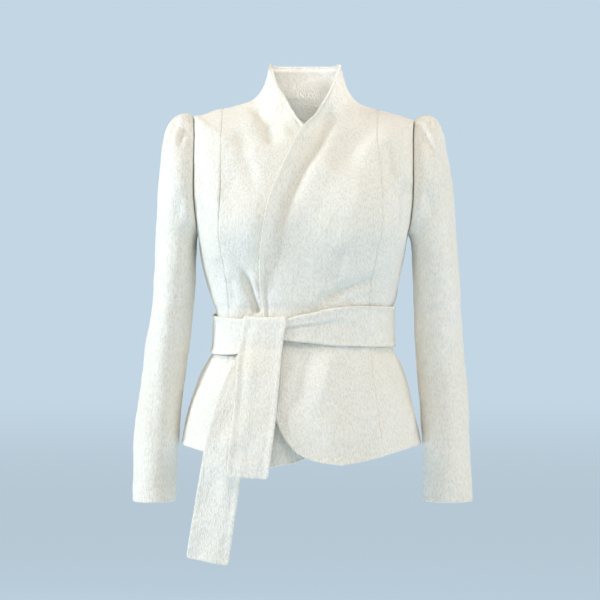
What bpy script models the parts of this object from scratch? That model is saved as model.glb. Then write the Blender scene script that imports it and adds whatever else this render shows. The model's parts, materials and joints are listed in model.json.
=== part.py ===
"""Wrap blazer of ivory felted wool, filled out as if worn, in metres with +Z up.

The body is cut with princess seams and flares below the waist. Its funnel collar is cut in one with the
fronts and the back. The left front laps over the right front, the slim sleeves have tucked and puffed heads,
and a wide belt is tied once at the waist. The front faces -Y and the wearer's left is +X. The origin is the
middle of the neck base, where the shoulders hold the garment.

The body cloth is one smooth surface, worked out from a short table of rings. A place on it is an angle round
the figure (0 at the wearer's left side, a quarter turn at the front) and a level (the ring's number, with
shares of one between two rings). Each panel is a patch of it between its own seams.
"""

import math
from typing import NamedTuple

import bmesh
import bpy
import numpy as np

# ---------------------------------------------------------------- driving dimensions
WALL = 0.0024  # felted wool
BELT_WALL = 0.0030  # the belt is the same cloth doubled and pressed
SEAM_GAP = 0.0003  # between two pieces at a seam
LAP_DEPTH = 0.0066  # the right front lies this far inside the left front
LAP_TURN = (math.radians(44), math.radians(60))  # it sinks to that depth between these turns from the side
LAP_FALL = 0.0120  # and this much deeper by the hem, where it hangs free
LAP_FALL_Z = (-0.480, -0.585)  # where that starts and ends
BELT_LIFT = 0.0013  # from the body cloth to the belt's inner face
IVORY = (0.86, 0.85, 0.80)
CLOTH_ROUGHNESS = 0.9
SHARP_ANGLE = math.radians(40)  # edges sharper than this are shaded as edges
LINE_SAMPLES = 400  # points of the fine lines that seams are cut from
SEARCH_STEPS = 40  # halvings when a level is looked for


class Ring(NamedTuple):
    """One level of the body cloth, as a ring round a general figure."""

    name: str
    z_side: float
    z_front: float
    z_back: float
    x_middle: float
    half_width: float
    y_front: float
    y_back: float
    square: float  # 2 is an ellipse, more is squarer
    lean: float  # how much lower the wearer's left side is, for each metre of x
    droop: float  # how late the height turns from the side's to the front's and the back's


RINGS = (
    #    name             z_side   z_front   z_back  x_middle  half_w   y_front  y_back  square  lean  droop
    Ring("hem",           -0.5735, -0.6035, -0.5850, -0.0040, 0.1980, -0.1650, 0.1500, 2.20, 0.000, 3.0),
    Ring("flare",         -0.5190, -0.5340, -0.5250, -0.0040, 0.1865, -0.1530, 0.1390, 2.20, 0.000, 3.0),
    Ring("hip",           -0.4700, -0.4750, -0.4730, -0.0020, 0.1720, -0.1390, 0.1220, 2.25, 0.000, 2.5),
    Ring("skirt top",     -0.4360, -0.4380, -0.4370, 0.0000, 0.1575, -0.1250, 0.1030, 2.30, 0.000, 2.0),
    Ring("belt bottom",   -0.4180, -0.4180, -0.4180, 0.0005, 0.1475, -0.1170, 0.0890, 2.35, 0.000, 2.0),
    Ring("waist",         -0.3860, -0.3860, -0.3860, 0.0010, 0.1452, -0.1140, 0.0835, 2.40, 0.000, 2.0),
    Ring("belt top",      -0.3540, -0.3540, -0.3540, 0.0008, 0.1462, -0.1145, 0.0850, 2.40, 0.000, 2.0),
    Ring("over the belt", -0.3370, -0.3370, -0.3370, 0.0005, 0.1520, -0.1190, 0.0905, 2.40, 0.000, 2.0),
    Ring("ribs",          -0.3040, -0.3040, -0.3040, -0.0005, 0.1585, -0.1240, 0.0960, 2.60, 0.000, 2.0),
    Ring("under bust",    -0.2650, -0.2620, -0.2640, -0.0010, 0.1665, -0.1310, 0.1050, 2.85, 0.000, 2.0),
    Ring("underarm",      -0.2290, -0.2220, -0.2260, 0.0000, 0.1725, -0.1350, 0.1110, 3.00, 0.000, 2.0),
    Ring("chest",         -0.1600, -0.1780, -0.1640, 0.0000, 0.1880, -0.1300, 0.1150, 2.75, 0.000, 2.0),
    Ring("upper chest",   -0.0930, -0.1400, -0.1070, 0.0000, 0.1905, -0.1210, 0.1140, 2.40, 0.010, 2.0),
    Ring("shoulder tip",  -0.0385, -0.1100, -0.0680, -0.0005, 0.1810, -0.1100, 0.1050, 2.20, 0.0245, 2.0),
    Ring("outer shoulder", -0.0355, -0.1020, -0.0560, 0.0000, 0.1690, -0.1060, 0.1000, 2.15, 0.0200, 2.0),
    Ring("mid shoulder",  -0.0280, -0.0890, -0.0450, 0.0010, 0.1490, -0.0990, 0.0920, 2.10, 0.018, 2.0),
    Ring("inner shoulder", -0.0190, -0.0710, -0.0260, 0.0010, 0.1150, -0.0900, 0.0790, 2.05, 0.014, 2.0),
    Ring("neck",          -0.0095, -0.0560, -0.0090, 0.0020, 0.0875, -0.0810, 0.0680, 2.00, 0.005, 2.0),
    Ring("collar low",    0.0070, -0.0400, 0.0100, 0.0025, 0.0725, -0.0770, 0.0620, 2.00, 0.000, 2.0),
    Ring("collar middle", 0.0300, -0.0160, 0.0330, 0.0025, 0.0637, -0.0712, 0.0575, 2.05, 0.000, 2.0),
    Ring("collar high",   0.0440, 0.0010, 0.0460, 0.0025, 0.0594, -0.0680, 0.0560, 2.08, 0.000, 2.0),
    Ring("collar top",    0.0516, 0.0130, 0.0540, 0.0025, 0.0548, -0.0640, 0.0537, 2.25, 0.000, 1.6),
)
RING_STEEPEST = 3.0  # no slope at a ring is more than this many times the step to either neighbour
LEVEL = {ring.name: number for number, ring in enumerate(RINGS)}
TOP_LEVEL = float(len(RINGS) - 1)
RING_VALUES = np.array([ring[1:] for ring in RINGS])
X_MIDDLE, HALF_WIDTH, SQUARE = (Ring._fields[1:].index(word) for word in ("x_middle", "half_width", "square"))


class Place(NamedTuple):
    """A point of a seam or an edge, as seen from the front."""

    x: float
    z: float


# The left front's free edge, from the lowest point of its hem round the corner and up to the collar top.
LEFT_EDGE = (
    Place(0.0578, -0.5990), Place(0.0150, -0.5922), Place(-0.0182, -0.5742), Place(-0.0436, -0.5332),
    Place(-0.0549, -0.4799), Place(-0.0617, -0.4166), Place(-0.0665, -0.3558), Place(-0.0711, -0.3062),
    Place(-0.0677, -0.2426), Place(-0.0527, -0.1641), Place(-0.0185, -0.0853), Place(0.0031, -0.0513),
    Place(0.0186, -0.0346), Place(0.0420, 0.0044), Place(0.0527, 0.0260), Place(0.0590, 0.0440),
)
PRINCESS_FRONT_LEFT = (
    Place(0.1280, -0.5880), Place(0.1180, -0.5100), Place(0.1080, -0.4200), Place(0.1060, -0.3520),
    Place(0.1096, -0.3046), Place(0.1223, -0.2183), Place(0.1235, -0.1392), Place(0.1195, -0.0700),
)
PRINCESS_FRONT_RIGHT = (
    Place(0.1380, -0.5880), Place(0.1300, -0.5100), Place(0.1200, -0.4200), Place(0.1210, -0.3520),
    Place(0.1300, -0.2884), Place(0.1352, -0.2183), Place(0.1345, -0.1392), Place(0.1335, -0.0700),
)
PRINCESS_BACK = (
    Place(0.1060, -0.5840), Place(0.0960, -0.5100), Place(0.0820, -0.4200), Place(0.0810, -0.3520),
    Place(0.0880, -0.2900), Place(0.1050, -0.2000), Place(0.1180, -0.1200), Place(0.1230, -0.0600),
)
PRINCESS_TOP_SAMPLES = 60
PRINCESS_TOP_DIP = 0.5  # the seam's last stretch may first fall by this many levels
PRINCESS_TOP_X = {1: 0.1213, -1: 0.1295}  # where the princess seams meet the left and right shoulder seams
COLLAR_CORNER_TURN = math.radians(14)  # the collar's front edge stops this far in front of its side seam
COLLAR_X_MIDDLE = 0.0025  # the right front's edge is the left front's, mirrored about this x

ARMHOLE_TURN = math.radians(24)  # the armhole's widest, forwards and backwards of the side
ARMHOLE_DENSE_STEP = 0.012  # between its points near the shoulder, where the tucks are


class Rows(NamedTuple):
    """How many rows of faces a panel has between the marks of its seams."""

    flare: int = 3
    hip: int = 2
    skirt_top: int = 1
    belt: int = 3
    ribs: int = 5
    armhole: int = 11
    armhole_dense: int = 5
    shoulder: int = 4
    collar: int = 4


ROWS = Rows()
BODY_MARKS = (
    ("hip", ROWS.flare), ("skirt top", ROWS.hip), ("belt bottom", ROWS.skirt_top), ("belt top", ROWS.belt),
    ("underarm", ROWS.ribs),
)
EDGE_BY_SHOULDER_Z = -0.082  # the front edge's height on the row that ends at the princess seam's top
EDGE_BY_NECK_Z = -0.038  # and on the row that ends at the neck


class Mound(NamedTuple):
    """A soft rise of the body cloth, seen from the front."""

    x: float
    z: float
    radius: float
    height: float


BUST = (Mound(0.088, -0.205, 0.055, 0.010), Mound(-0.088, -0.205, 0.055, 0.010))


class Fold(NamedTuple):
    """A soft trough (depth below zero) or ridge of the body cloth, from one place to another."""

    front: bool
    x_start: float
    z_start: float
    x_end: float
    z_end: float
    width: float
    depth: float


FOLDS = (
    #    front  x_start  z_start  x_end   z_end   width   depth
    Fold(True, 0.032, -0.054, -0.004, -0.126, 0.012, -0.0050),
    Fold(True, -0.006, -0.130, -0.041, -0.225, 0.012, -0.0050),
    Fold(True, -0.046, -0.240, -0.050, -0.335, 0.011, -0.0035),
    Fold(True, 0.112, -0.040, 0.066, -0.110, 0.016, -0.0055),
    Fold(True, 0.030, -0.342, 0.118, -0.300, 0.012, -0.0055),
    Fold(True, -0.102, -0.290, -0.080, -0.350, 0.009, -0.0055),
    Fold(True, -0.030, -0.060, -0.080, -0.110, 0.014, -0.0025),
    Fold(False, 0.060, -0.080, -0.060, -0.080, 0.016, -0.0020),
    Fold(False, 0.020, -0.335, 0.095, -0.305, 0.012, -0.0030),
    Fold(False, -0.020, -0.335, -0.095, -0.305, 0.012, -0.0030),
)


class TipPull(NamedTuple):
    """How strongly the top of a sleeve head leaves the seam outwards, and meets the tube outwards and down."""

    out: float
    drift: float
    down: float


TIP_PULLS = {1: TipPull(0.162, 0.0735, 0.670), -1: TipPull(0.198, 0.0240, 0.430)}  # by side, left first


class SleeveSection(NamedTuple):
    """One level of a sleeve, with x counted away from the body."""

    z: float
    x_body: float
    x_outer: float
    y_middle: float
    y_half: float


LEFT_SLEEVE = (
    #              z       x_body  x_outer y_middle y_half
    SleeveSection(-0.2620, 0.1805, 0.2560, 0.000, 0.0600),
    SleeveSection(-0.3366, 0.1820, 0.2600, 0.002, 0.0570),
    SleeveSection(-0.4190, 0.1856, 0.2650, 0.002, 0.0530),
    SleeveSection(-0.5016, 0.1906, 0.2714, -0.004, 0.0490),
    SleeveSection(-0.5840, 0.1968, 0.2740, -0.014, 0.0460),
    SleeveSection(-0.6665, 0.1965, 0.2765, -0.026, 0.0440),
)
RIGHT_SLEEVE = (
    #              z       x_body  x_outer y_middle y_half
    SleeveSection(-0.2620, 0.1775, 0.2440, 0.000, 0.0600),
    SleeveSection(-0.3366, 0.1807, 0.2483, 0.002, 0.0570),
    SleeveSection(-0.4190, 0.1890, 0.2615, 0.002, 0.0530),
    SleeveSection(-0.5016, 0.1988, 0.2714, -0.004, 0.0490),
    SleeveSection(-0.5840, 0.2054, 0.2780, -0.014, 0.0460),
    SleeveSection(-0.6665, 0.2085, 0.2812, -0.026, 0.0440),
)
SLEEVE_CAP_ROWS = 9
SLEEVE_LOWER_ROWS = 6
CAP_ROW_SPACING = 1.25  # 1 is even, more draws the cap's rows towards the seam
CAP_OUT = 0.012  # how strongly the cloth leaves the seam sideways at the underarm
CAP_UP = 0.059  # and upwards, at the tip
CAP_FORWARD = 0.085  # and forwards and backwards, half way up
CAP_DOWN = 0.030  # how strongly it comes down on the first section at the underarm
TUCK_PITCH = 0.024
TUCK_REACH = 0.056  # the outermost tuck, along the seam from the shoulder tip
TUCK_HEIGHT = 0.0030
TUCK_PEAK = 0.014  # the tucks stand highest this far from the seam
TUCK_FADE = 0.034  # and have sunk away this far beyond it


class StripRow(NamedTuple):
    """One crosswise row of a belt end, seen from the front."""

    x_left: float
    z_left: float
    x_right: float
    z_right: float
    lift: float  # from the body cloth to the middle of the strip
    flat: float  # 0 follows the body across, 1 hangs flat before it


KNOT_X = -0.058
KNOT_HALF = 0.052  # the band stands off to let the upper end pass behind it, this far each side
KNOT_EASE = 0.045
KNOT_LIFT = 0.0048
UPPER_END_BACK_LIFT = 0.0026
LOWER_END_LIFT = 0.0036
BAND_KNOT_LIFT = BELT_LIFT + KNOT_LIFT + BELT_WALL / 2
ROLL_RADIUS = BAND_KNOT_LIFT - UPPER_END_BACK_LIFT
FRONT_LIFT = BAND_KNOT_LIFT + ROLL_RADIUS
FOLD_Z = -0.3690  # the band's top edge where the upper end folds over it
BACK_LEG_ROWS, ROLL_ROWS, UPPER_END_ROWS, LOWER_END_ROWS = 4, 6, 12, 14
STRIP_COLUMNS = 4
HANG_REACH = (-0.16, 0.02)  # a hanging end keeps clear of the body between these x
HANG_SAMPLES = 60
UPPER_END_FACING = math.radians(7)  # how far each hanging end turns towards the wearer's right
LOWER_END_FACING = math.radians(15)
BACK_LEG_END_Z = -0.4310  # where the upper and the lower end meet behind the upper one
UPPER_END = (
    #        x_left   z_left   x_right  z_right  lift       flat
    StripRow(-0.0920, -0.3760, -0.0270, -0.3760, FRONT_LIFT, 0.2),
    StripRow(-0.0975, -0.4020, -0.0320, -0.4040, FRONT_LIFT, 0.5),
    StripRow(-0.1044, -0.4338, -0.0365, -0.4440, FRONT_LIFT - 0.0005, 0.8),
    StripRow(-0.1102, -0.4999, -0.0425, -0.5050, FRONT_LIFT - 0.0022, 1.0),
    StripRow(-0.1161, -0.5562, -0.0480, -0.5580, FRONT_LIFT - 0.0012, 1.0),
    StripRow(-0.1228, -0.6192, -0.0569, -0.6222, FRONT_LIFT - 0.0007, 1.0),
)
BACK_LEG = (
    #        x_left   z_left          x_right  z_right         lift            flat
    StripRow(-0.1065, BACK_LEG_END_Z, -0.0430, BACK_LEG_END_Z, LOWER_END_LIFT, 0.0),
    StripRow(-0.0920, -0.3760, -0.0290, -0.3760, UPPER_END_BACK_LIFT, 0.0),
)
LOWER_END = (
    #        x_left   z_left                     x_right  z_right                    lift            flat
    StripRow(-0.1065, BACK_LEG_END_Z - SEAM_GAP, -0.0430, BACK_LEG_END_Z - SEAM_GAP, LOWER_END_LIFT, 0.0),
    StripRow(-0.1221, -0.4579, -0.0560, -0.4640, LOWER_END_LIFT, 0.5),
    StripRow(-0.1361, -0.4894, -0.0690, -0.4990, LOWER_END_LIFT, 0.9),
    StripRow(-0.1483, -0.5317, -0.0815, -0.5400, LOWER_END_LIFT, 1.0),
    StripRow(-0.1575, -0.5693, -0.0920, -0.5760, LOWER_END_LIFT + 0.0010, 1.0),
    StripRow(-0.1667, -0.6225, -0.1010, -0.6260, LOWER_END_LIFT + 0.0020, 1.0),
    StripRow(-0.1762, -0.6794, -0.1090, -0.6830, LOWER_END_LIFT + 0.0020, 1.0),
    StripRow(-0.1872, -0.7490, -0.1205, -0.7600, LOWER_END_LIFT + 0.0020, 1.0),
)


class BandMark(NamedTuple):
    """The belt band at one place round the waist."""

    turn: float  # degrees, as the body's angle
    z_middle: float
    half_width: float


BAND = (
    BandMark(0, -0.3804, 0.0335), BandMark(45, -0.3790, 0.0335), BandMark(62, -0.3785, 0.0325),
    BandMark(76, -0.3800, 0.0300), BandMark(90, -0.3830, 0.0225), BandMark(102, -0.3860, 0.0160),
    BandMark(112, -0.3900, 0.0200), BandMark(125, -0.3960, 0.0290), BandMark(140, -0.3970, 0.0315),
    BandMark(180, -0.3920, 0.0320), BandMark(230, -0.3870, 0.0330), BandMark(310, -0.3830, 0.0335),
    BandMark(360, -0.3804, 0.0335),
)
BAND_COLUMNS = 64
BAND_ROWS = 3


# ---------------------------------------------------------------- smooth lines through short tables
def smooth_rows(rows, where, steepest=None):
    """Rows of numbers read between as a smooth (Catmull-Rom) line, at shares of a row's number.

    Where steepest is given, no slope at a row is more than that many times the step to either neighbour.
    """
    rows = np.asarray(rows, float)
    steps = np.diff(rows, axis=0)
    below, above = np.concatenate([steps[:1], steps]), np.concatenate([steps, steps[-1:]])
    slopes = (below + above) / 2
    if steepest is not None:
        most = steepest * np.minimum(np.abs(below), np.abs(above))
        slopes = np.clip(slopes, -most, most)
    last = len(rows) - 1
    where = np.clip(np.asarray(where, float), 0.0, last)
    first = np.minimum(where.astype(int), last - 1)
    share = (where - first)[..., None]
    return (
        (2 * share**3 - 3 * share**2 + 1) * rows[first]
        + (share**3 - 2 * share**2 + share) * slopes[first]
        + (3 * share**2 - 2 * share**3) * rows[first + 1]
        + (share**3 - share**2) * slopes[first + 1]
    )


def smooth_step(value, start, end):
    """0 before start, 1 after end, and an S between."""
    share = np.clip((np.asarray(value, float) - start) / (end - start), 0.0, 1.0)
    return share * share * (3 - 2 * share)


def along(points):
    """The length of a polyline up to each of its points."""
    steps = np.linalg.norm(np.diff(points, axis=0), axis=1)
    return np.concatenate([[0.0], np.cumsum(steps)])


def read_at(points, lengths, wanted):
    """Points of a polyline at the wanted lengths along it."""
    return np.stack([np.interp(wanted, lengths, column) for column in points.T], axis=1)


# ---------------------------------------------------------------- the body's surface
def ring_at(level):
    """The ring's numbers at any level."""
    return smooth_rows(RING_VALUES, level, RING_STEEPEST)


def signed_power(value, power):
    """A power that keeps the sign."""
    return np.sign(value) * np.abs(value) ** power


def figure(angle, level):
    """Points of the smooth figure that the cloth follows."""
    angle = np.asarray(angle, float)
    z_side, z_front, z_back, x_middle, half_width, y_front, y_back, square, lean, droop = np.moveaxis(
        ring_at(level), -1, 0
    )
    across, out = np.cos(angle), np.sin(angle)
    x = x_middle + half_width * signed_power(across, 2 / square)
    y = np.where(out >= 0, y_front, y_back) * np.abs(out) ** (2 / square)
    z = z_side + (np.where(out >= 0, z_front, z_back) - z_side) * np.abs(out) ** droop - lean * x
    return np.stack([x, y, z], axis=-1)


def figure_normal(angle, level):
    """The figure's outward direction."""
    step = 1e-3
    level = np.clip(level, step, TOP_LEVEL - step)
    round_it = figure(angle + step, level) - figure(angle - step, level)
    up = figure(angle, level + step) - figure(angle, level - step)
    normal = np.cross(up, round_it)
    return normal / np.linalg.norm(normal, axis=-1, keepdims=True)


def relief(points, front):
    """How far the mounds and folds lift the cloth off the figure."""
    x, z = points[..., 0], points[..., 2]
    rise = np.zeros(x.shape)
    for mound in BUST:
        away = ((x - mound.x) ** 2 + (z - mound.z) ** 2) / mound.radius**2
        rise += np.where(front, mound.height * np.exp(-away), 0.0)
    for fold in FOLDS:
        run_x, run_z = fold.x_end - fold.x_start, fold.z_end - fold.z_start
        share = ((x - fold.x_start) * run_x + (z - fold.z_start) * run_z) / (run_x**2 + run_z**2)
        share = np.clip(share, 0.0, 1.0)
        off = np.hypot(x - fold.x_start - share * run_x, z - fold.z_start - share * run_z)
        rise += np.where(front == fold.front, fold.depth * np.exp(-((off / fold.width) ** 2)), 0.0)
    return rise


def cloth(angle, level, lift=0.0):
    """Points on the body cloth's outer face, or lifted off it."""
    points = figure(angle, level)
    front = np.sin(angle) >= 0
    rise = relief(points, front) + lift
    return points + figure_normal(angle, level) * rise[..., None]


def cloth_without_folds(angle, level, lift):
    """Points lifted off the smooth figure."""
    return figure(angle, level) + figure_normal(angle, level) * lift[..., None]


def on_body(x, z, front=True):
    """The angle and the level of the cloth that is seen at x and z."""
    x, z = np.asarray(x, float), np.asarray(z, float)
    low, high = np.zeros(x.shape), np.full(x.shape, TOP_LEVEL)
    for _ in range(SEARCH_STEPS):
        level = (low + high) / 2
        angle = angle_at(x, level, front)
        below = figure(angle, level)[..., 2] < z
        low, high = np.where(below, level, low), np.where(below, high, level)
    return angle, level


def angle_at(x, level, front=True):
    """The angle at which a level passes x, on the front or on the back."""
    ring = ring_at(level)
    share = np.clip((x - ring[..., X_MIDDLE]) / ring[..., HALF_WIDTH], -1.0, 1.0)
    turn = np.arccos(signed_power(share, ring[..., SQUARE] / 2))
    return turn if front else -turn


def level_at(angle, z):
    """The level at which a place round the body has the height z."""
    angle, z = np.broadcast_arrays(np.asarray(angle, float), np.asarray(z, float))
    low, high = np.zeros(z.shape), np.full(z.shape, TOP_LEVEL)
    for _ in range(SEARCH_STEPS):
        level = (low + high) / 2
        below = figure(angle, level)[..., 2] < z
        low, high = np.where(below, level, low), np.where(below, high, level)
    return level


# ---------------------------------------------------------------- seams, as rows of (angle, level)
def fine_line(places, front=True):
    """A smooth line through places seen from the front or back, as many rows of (angle, level)."""
    fine = smooth_rows(np.array(places), np.linspace(0, len(places) - 1, LINE_SAMPLES))
    return np.stack(on_body(fine[:, 0], fine[:, 1], front), axis=1)


def spot_lengths(spots):
    """The length of a line of (angle, level) up to each of its spots."""
    return along(figure(spots[:, 0], spots[:, 1]))


def cut_line(spots, marks):
    """A line's spots between marks, each mark being (where it is, rows up to it). The first has no rows."""
    lengths = spot_lengths(spots)
    out = [read_at(spots, lengths, [marks[0][0]])]
    for (start, _), (end, rows) in zip(marks, marks[1:]):
        out.append(read_at(spots, lengths, np.linspace(start, end, rows + 1)[1:]))
    return np.concatenate(out)


def marks_at_heights(spots, heights, rows_to_end):
    """Marks for cut_line, where a rising line first passes each (height, rows up to it), and at its end."""
    lengths = spot_lengths(spots)
    rising = figure(spots[:, 0], spots[:, 1])[:, 2]
    passed = [(float(lengths[np.argmax(rising >= z)]), rows) for z, rows in heights]
    return [(0.0, 0), *passed, (float(lengths[-1]), rows_to_end)]


def princess_seam(places, side, front):
    """A princess seam from the hem to the shoulder seam."""
    spots = fine_line([Place(side * place.x, place.z) for place in places], front)
    spots = np.concatenate([spots, over_shoulder(spots[-1], side, front)])
    spots[0, 1] = 0.0
    heights = [(RINGS[LEVEL[name]].z_side, rows) for name, rows in BODY_MARKS]
    return cut_line(spots, marks_at_heights(spots, heights, ROWS.armhole))


def over_shoulder(start, side, front):
    """The last of a princess seam, with x changing evenly up to the shoulder seam."""
    top_level = shoulder_level_at(PRINCESS_TOP_X[side], side)
    share = np.linspace(0, 1, PRINCESS_TOP_SAMPLES)[1:]
    angle = start[0] + (side_angle(side, front) - start[0]) * smooth_step(share, 0.0, 1.0)
    start_x = figure(*start)[0]
    wanted = start_x + (side * PRINCESS_TOP_X[side] - start_x) * share
    low, high = np.full(angle.shape, start[1] - PRINCESS_TOP_DIP), np.full(angle.shape, TOP_LEVEL)
    for _ in range(SEARCH_STEPS):
        level = (low + high) / 2
        wide = np.abs(figure(angle, level)[..., 0]) > np.abs(wanted)
        low, high = np.where(wide, level, low), np.where(wide, high, level)
    level[-1] = top_level
    return np.stack([angle, level], axis=1)


def shoulder_level_at(x, side):
    """The level at which the shoulder seam passes x."""
    low, high = float(LEVEL["shoulder tip"]), TOP_LEVEL
    for _ in range(SEARCH_STEPS):
        level = (low + high) / 2
        ring = ring_at(level)
        if abs(ring[X_MIDDLE] + side * ring[HALF_WIDTH]) > x:
            low = level
        else:
            high = level
    return level


def side_angle(side, front):
    """The angle of the side seam, as the front or the back reaches it."""
    turn = 0.0 if side > 0 else math.pi
    return turn if front else -turn


def armhole_seam(side, front):
    """Half an armhole, from the underarm to the shoulder tip, with close points near the tip."""
    phase = np.linspace(0, math.pi, LINE_SAMPLES)
    underarm, tip = LEVEL["underarm"], LEVEL["shoulder tip"]
    turn = ARMHOLE_TURN * np.sin(phase)
    angle = turn if side > 0 else math.pi - turn
    angle = angle if front else -angle
    level = underarm + (tip - underarm) * (1 - np.cos(phase)) / 2
    spots = np.stack([angle, level], axis=1)
    whole = spot_lengths(spots)[-1]
    dense_from = whole - ROWS.armhole_dense * ARMHOLE_DENSE_STEP
    marks = [(0.0, 0), (dense_from, ROWS.armhole - ROWS.armhole_dense), (whole, ROWS.armhole_dense)]
    return cut_line(spots, marks)


def side_seam(side, front):
    """The side seam from the hem to the underarm."""
    turn = side_angle(side, front)
    heights = [RINGS[0].z_side]
    for name, rows in BODY_MARKS:
        heights.extend(np.linspace(heights[-1], RINGS[LEVEL[name]].z_side, rows + 1)[1:])
    level = level_at(turn, np.array(heights))
    level[0], level[-1] = 0.0, LEVEL["underarm"]
    return np.stack([np.full(len(level), turn), level], axis=1)


def shoulder_and_collar_seam(side, front):
    """From the princess seam's top along the shoulder and up the collar's side to its top."""
    start = shoulder_level_at(PRINCESS_TOP_X[side], side)
    neck = float(LEVEL["neck"])
    level = np.concatenate(
        [np.linspace(start, neck, ROWS.shoulder + 1), np.linspace(neck, TOP_LEVEL, ROWS.collar + 1)[1:]]
    )
    return np.stack([np.full(len(level), side_angle(side, front)), level], axis=1)


def front_edge(side):
    """A front's free edge, with as many rows as the seam that the front is sewn to."""
    mirrored = [Place(2 * COLLAR_X_MIDDLE - place.x, place.z) for place in LEFT_EDGE]
    spots = fine_line(LEFT_EDGE if side > 0 else mirrored)
    corner = COLLAR_CORNER_TURN if side > 0 else math.pi - COLLAR_CORNER_TURN
    spots = np.concatenate([spots[:-1], [[corner, TOP_LEVEL]]])
    spots[0, 1] = 0.0
    heights = [(RINGS[LEVEL[name]].z_front, rows) for name, rows in BODY_MARKS]
    heights += [(EDGE_BY_SHOULDER_Z, ROWS.armhole), (EDGE_BY_NECK_Z, ROWS.shoulder)]
    return cut_line(spots, marks_at_heights(spots, heights, ROWS.collar))


# ---------------------------------------------------------------- solids
def cloth_material(name):
    """The plain ivory wool of one piece."""
    material = bpy.data.materials.new(name + "_wool")
    material.use_nodes = True
    shader = material.node_tree.nodes["Principled BSDF"]
    shader.inputs["Base Color"].default_value = (*IVORY, 1.0)
    shader.inputs["Roughness"].default_value = CLOTH_ROUGHNESS
    shader.inputs["Metallic"].default_value = 0.0
    return material


def wall_object(name, outer, inner, tube=False, ring=False):
    """A closed wall between two grids of points. A tube closes across its rows, a ring also along them."""
    rows, columns = outer.shape[:2]
    mesh = bpy.data.meshes.new(name)
    shape = bmesh.new()
    faces = []
    sheets = []
    for grid in (outer, inner):
        sheets.append([[shape.verts.new(point) for point in row] for row in grid])
    across = columns if tube else columns - 1
    upward = rows if ring else rows - 1
    for sheet in sheets:
        for i in range(upward):
            for j in range(across):
                k, m = (i + 1) % rows, (j + 1) % columns
                faces.append((sheet[i][j], sheet[i][m], sheet[k][m], sheet[k][j]))
    if not ring:
        for i in (0, rows - 1):
            for j in range(across):
                m = (j + 1) % columns
                faces.append((sheets[0][i][j], sheets[0][i][m], sheets[1][i][m], sheets[1][i][j]))
    if not tube:
        for j in (0, columns - 1):
            for i in range(upward):
                k = (i + 1) % rows
                faces.append((sheets[0][i][j], sheets[0][k][j], sheets[1][k][j], sheets[1][i][j]))
    for face in faces:
        shape.faces.new(face)
    bmesh.ops.recalc_face_normals(shape, faces=shape.faces)
    shape.to_mesh(mesh)
    shape.free()
    mesh.shade_smooth()
    mesh.set_sharp_from_angle(angle=SHARP_ANGLE)
    mesh.materials.append(cloth_material(name))
    piece = bpy.data.objects.new(name, mesh)
    bpy.context.scene.collection.objects.link(piece)
    return piece


def grid_normals(grid, tube=False):
    """Unit normals of a grid of points, rows by columns."""
    over_columns = np.roll(grid, -1, 1) - np.roll(grid, 1, 1) if tube else np.gradient(grid, axis=1)
    normal = np.cross(np.gradient(grid, axis=0), over_columns)
    return normal / np.linalg.norm(normal, axis=-1, keepdims=True)


def seam_inset(line, normals, inside):
    """Half the seam gap, in the cloth and at right angles to the seam, towards a grid of points inside."""
    run = np.gradient(line, axis=0)
    way = np.cross(normals, run)
    way /= np.linalg.norm(way, axis=-1, keepdims=True)
    away = np.sum(way * (inside - line), axis=-1, keepdims=True) < 0
    return np.where(away, -way, way) * SEAM_GAP / 2


def panel(name, first, last, columns, first_sewn, last_sewn, top_sewn, sink=None):
    """A body panel between two seams, given as rows of (angle, level)."""
    share = np.linspace(0, 1, columns + 1)[None, :, None]
    spots = first[:, None, :] * (1 - share) + last[:, None, :] * share
    angle, level = spots[..., 0], spots[..., 1]
    normals = figure_normal(angle, level)
    outer = cloth(angle, level)
    if sink is not None:
        outer = outer - normals * sink(angle, outer[..., 2])[..., None]
    shift = np.zeros(outer.shape)
    if first_sewn:
        shift[:, 0] += seam_inset(outer[:, 0], normals[:, 0], outer[:, 1])
    if last_sewn:
        shift[:, -1] += seam_inset(outer[:, -1], normals[:, -1], outer[:, -2])
    if top_sewn:
        shift[-1] += seam_inset(outer[-1], normals[-1], outer[-2])
    outer = outer + shift
    return wall_object(name, outer, outer - normals * WALL)


def lap_sink(angle, z):
    """How deep the right front lies under the left front, at angles round the body and heights."""
    fall = LAP_FALL * (1 - smooth_step(z, LAP_FALL_Z[1], LAP_FALL_Z[0]))
    return (LAP_DEPTH + fall) * smooth_step(math.pi - angle, *LAP_TURN)


# ---------------------------------------------------------------- the pieces
FRONT_COLUMNS, SIDE_FRONT_COLUMNS, BACK_COLUMNS, SIDE_BACK_COLUMNS = 10, 5, 12, 6
SIDES = (("left", 1), ("right", -1))


def build_body():
    """The two fronts, two side fronts, the back and two side backs."""
    backs = {}
    for word, side in SIDES:
        front_places = PRINCESS_FRONT_LEFT if side > 0 else PRINCESS_FRONT_RIGHT
        front_princess = princess_seam(front_places, side, True)
        back_princess = princess_seam(PRINCESS_BACK, side, False)
        outline = np.concatenate([front_princess, shoulder_and_collar_seam(side, True)[1:]])
        sink = lap_sink if side < 0 else None
        panel(f"{word}_front", front_edge(side), outline, FRONT_COLUMNS, False, True, False, sink)
        for place, princess, front, columns in (
            ("side_front", front_princess, True, SIDE_FRONT_COLUMNS),
            ("side_back", back_princess, False, SIDE_BACK_COLUMNS),
        ):
            outer_edge = np.concatenate([side_seam(side, front), armhole_seam(side, front)[1:]])
            panel(f"{word}_{place}", princess, outer_edge, columns, True, True, True)
        backs[side] = np.concatenate([back_princess, shoulder_and_collar_seam(side, False)[1:]])
    panel("back", backs[1], backs[-1], BACK_COLUMNS, True, True, False)


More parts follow.
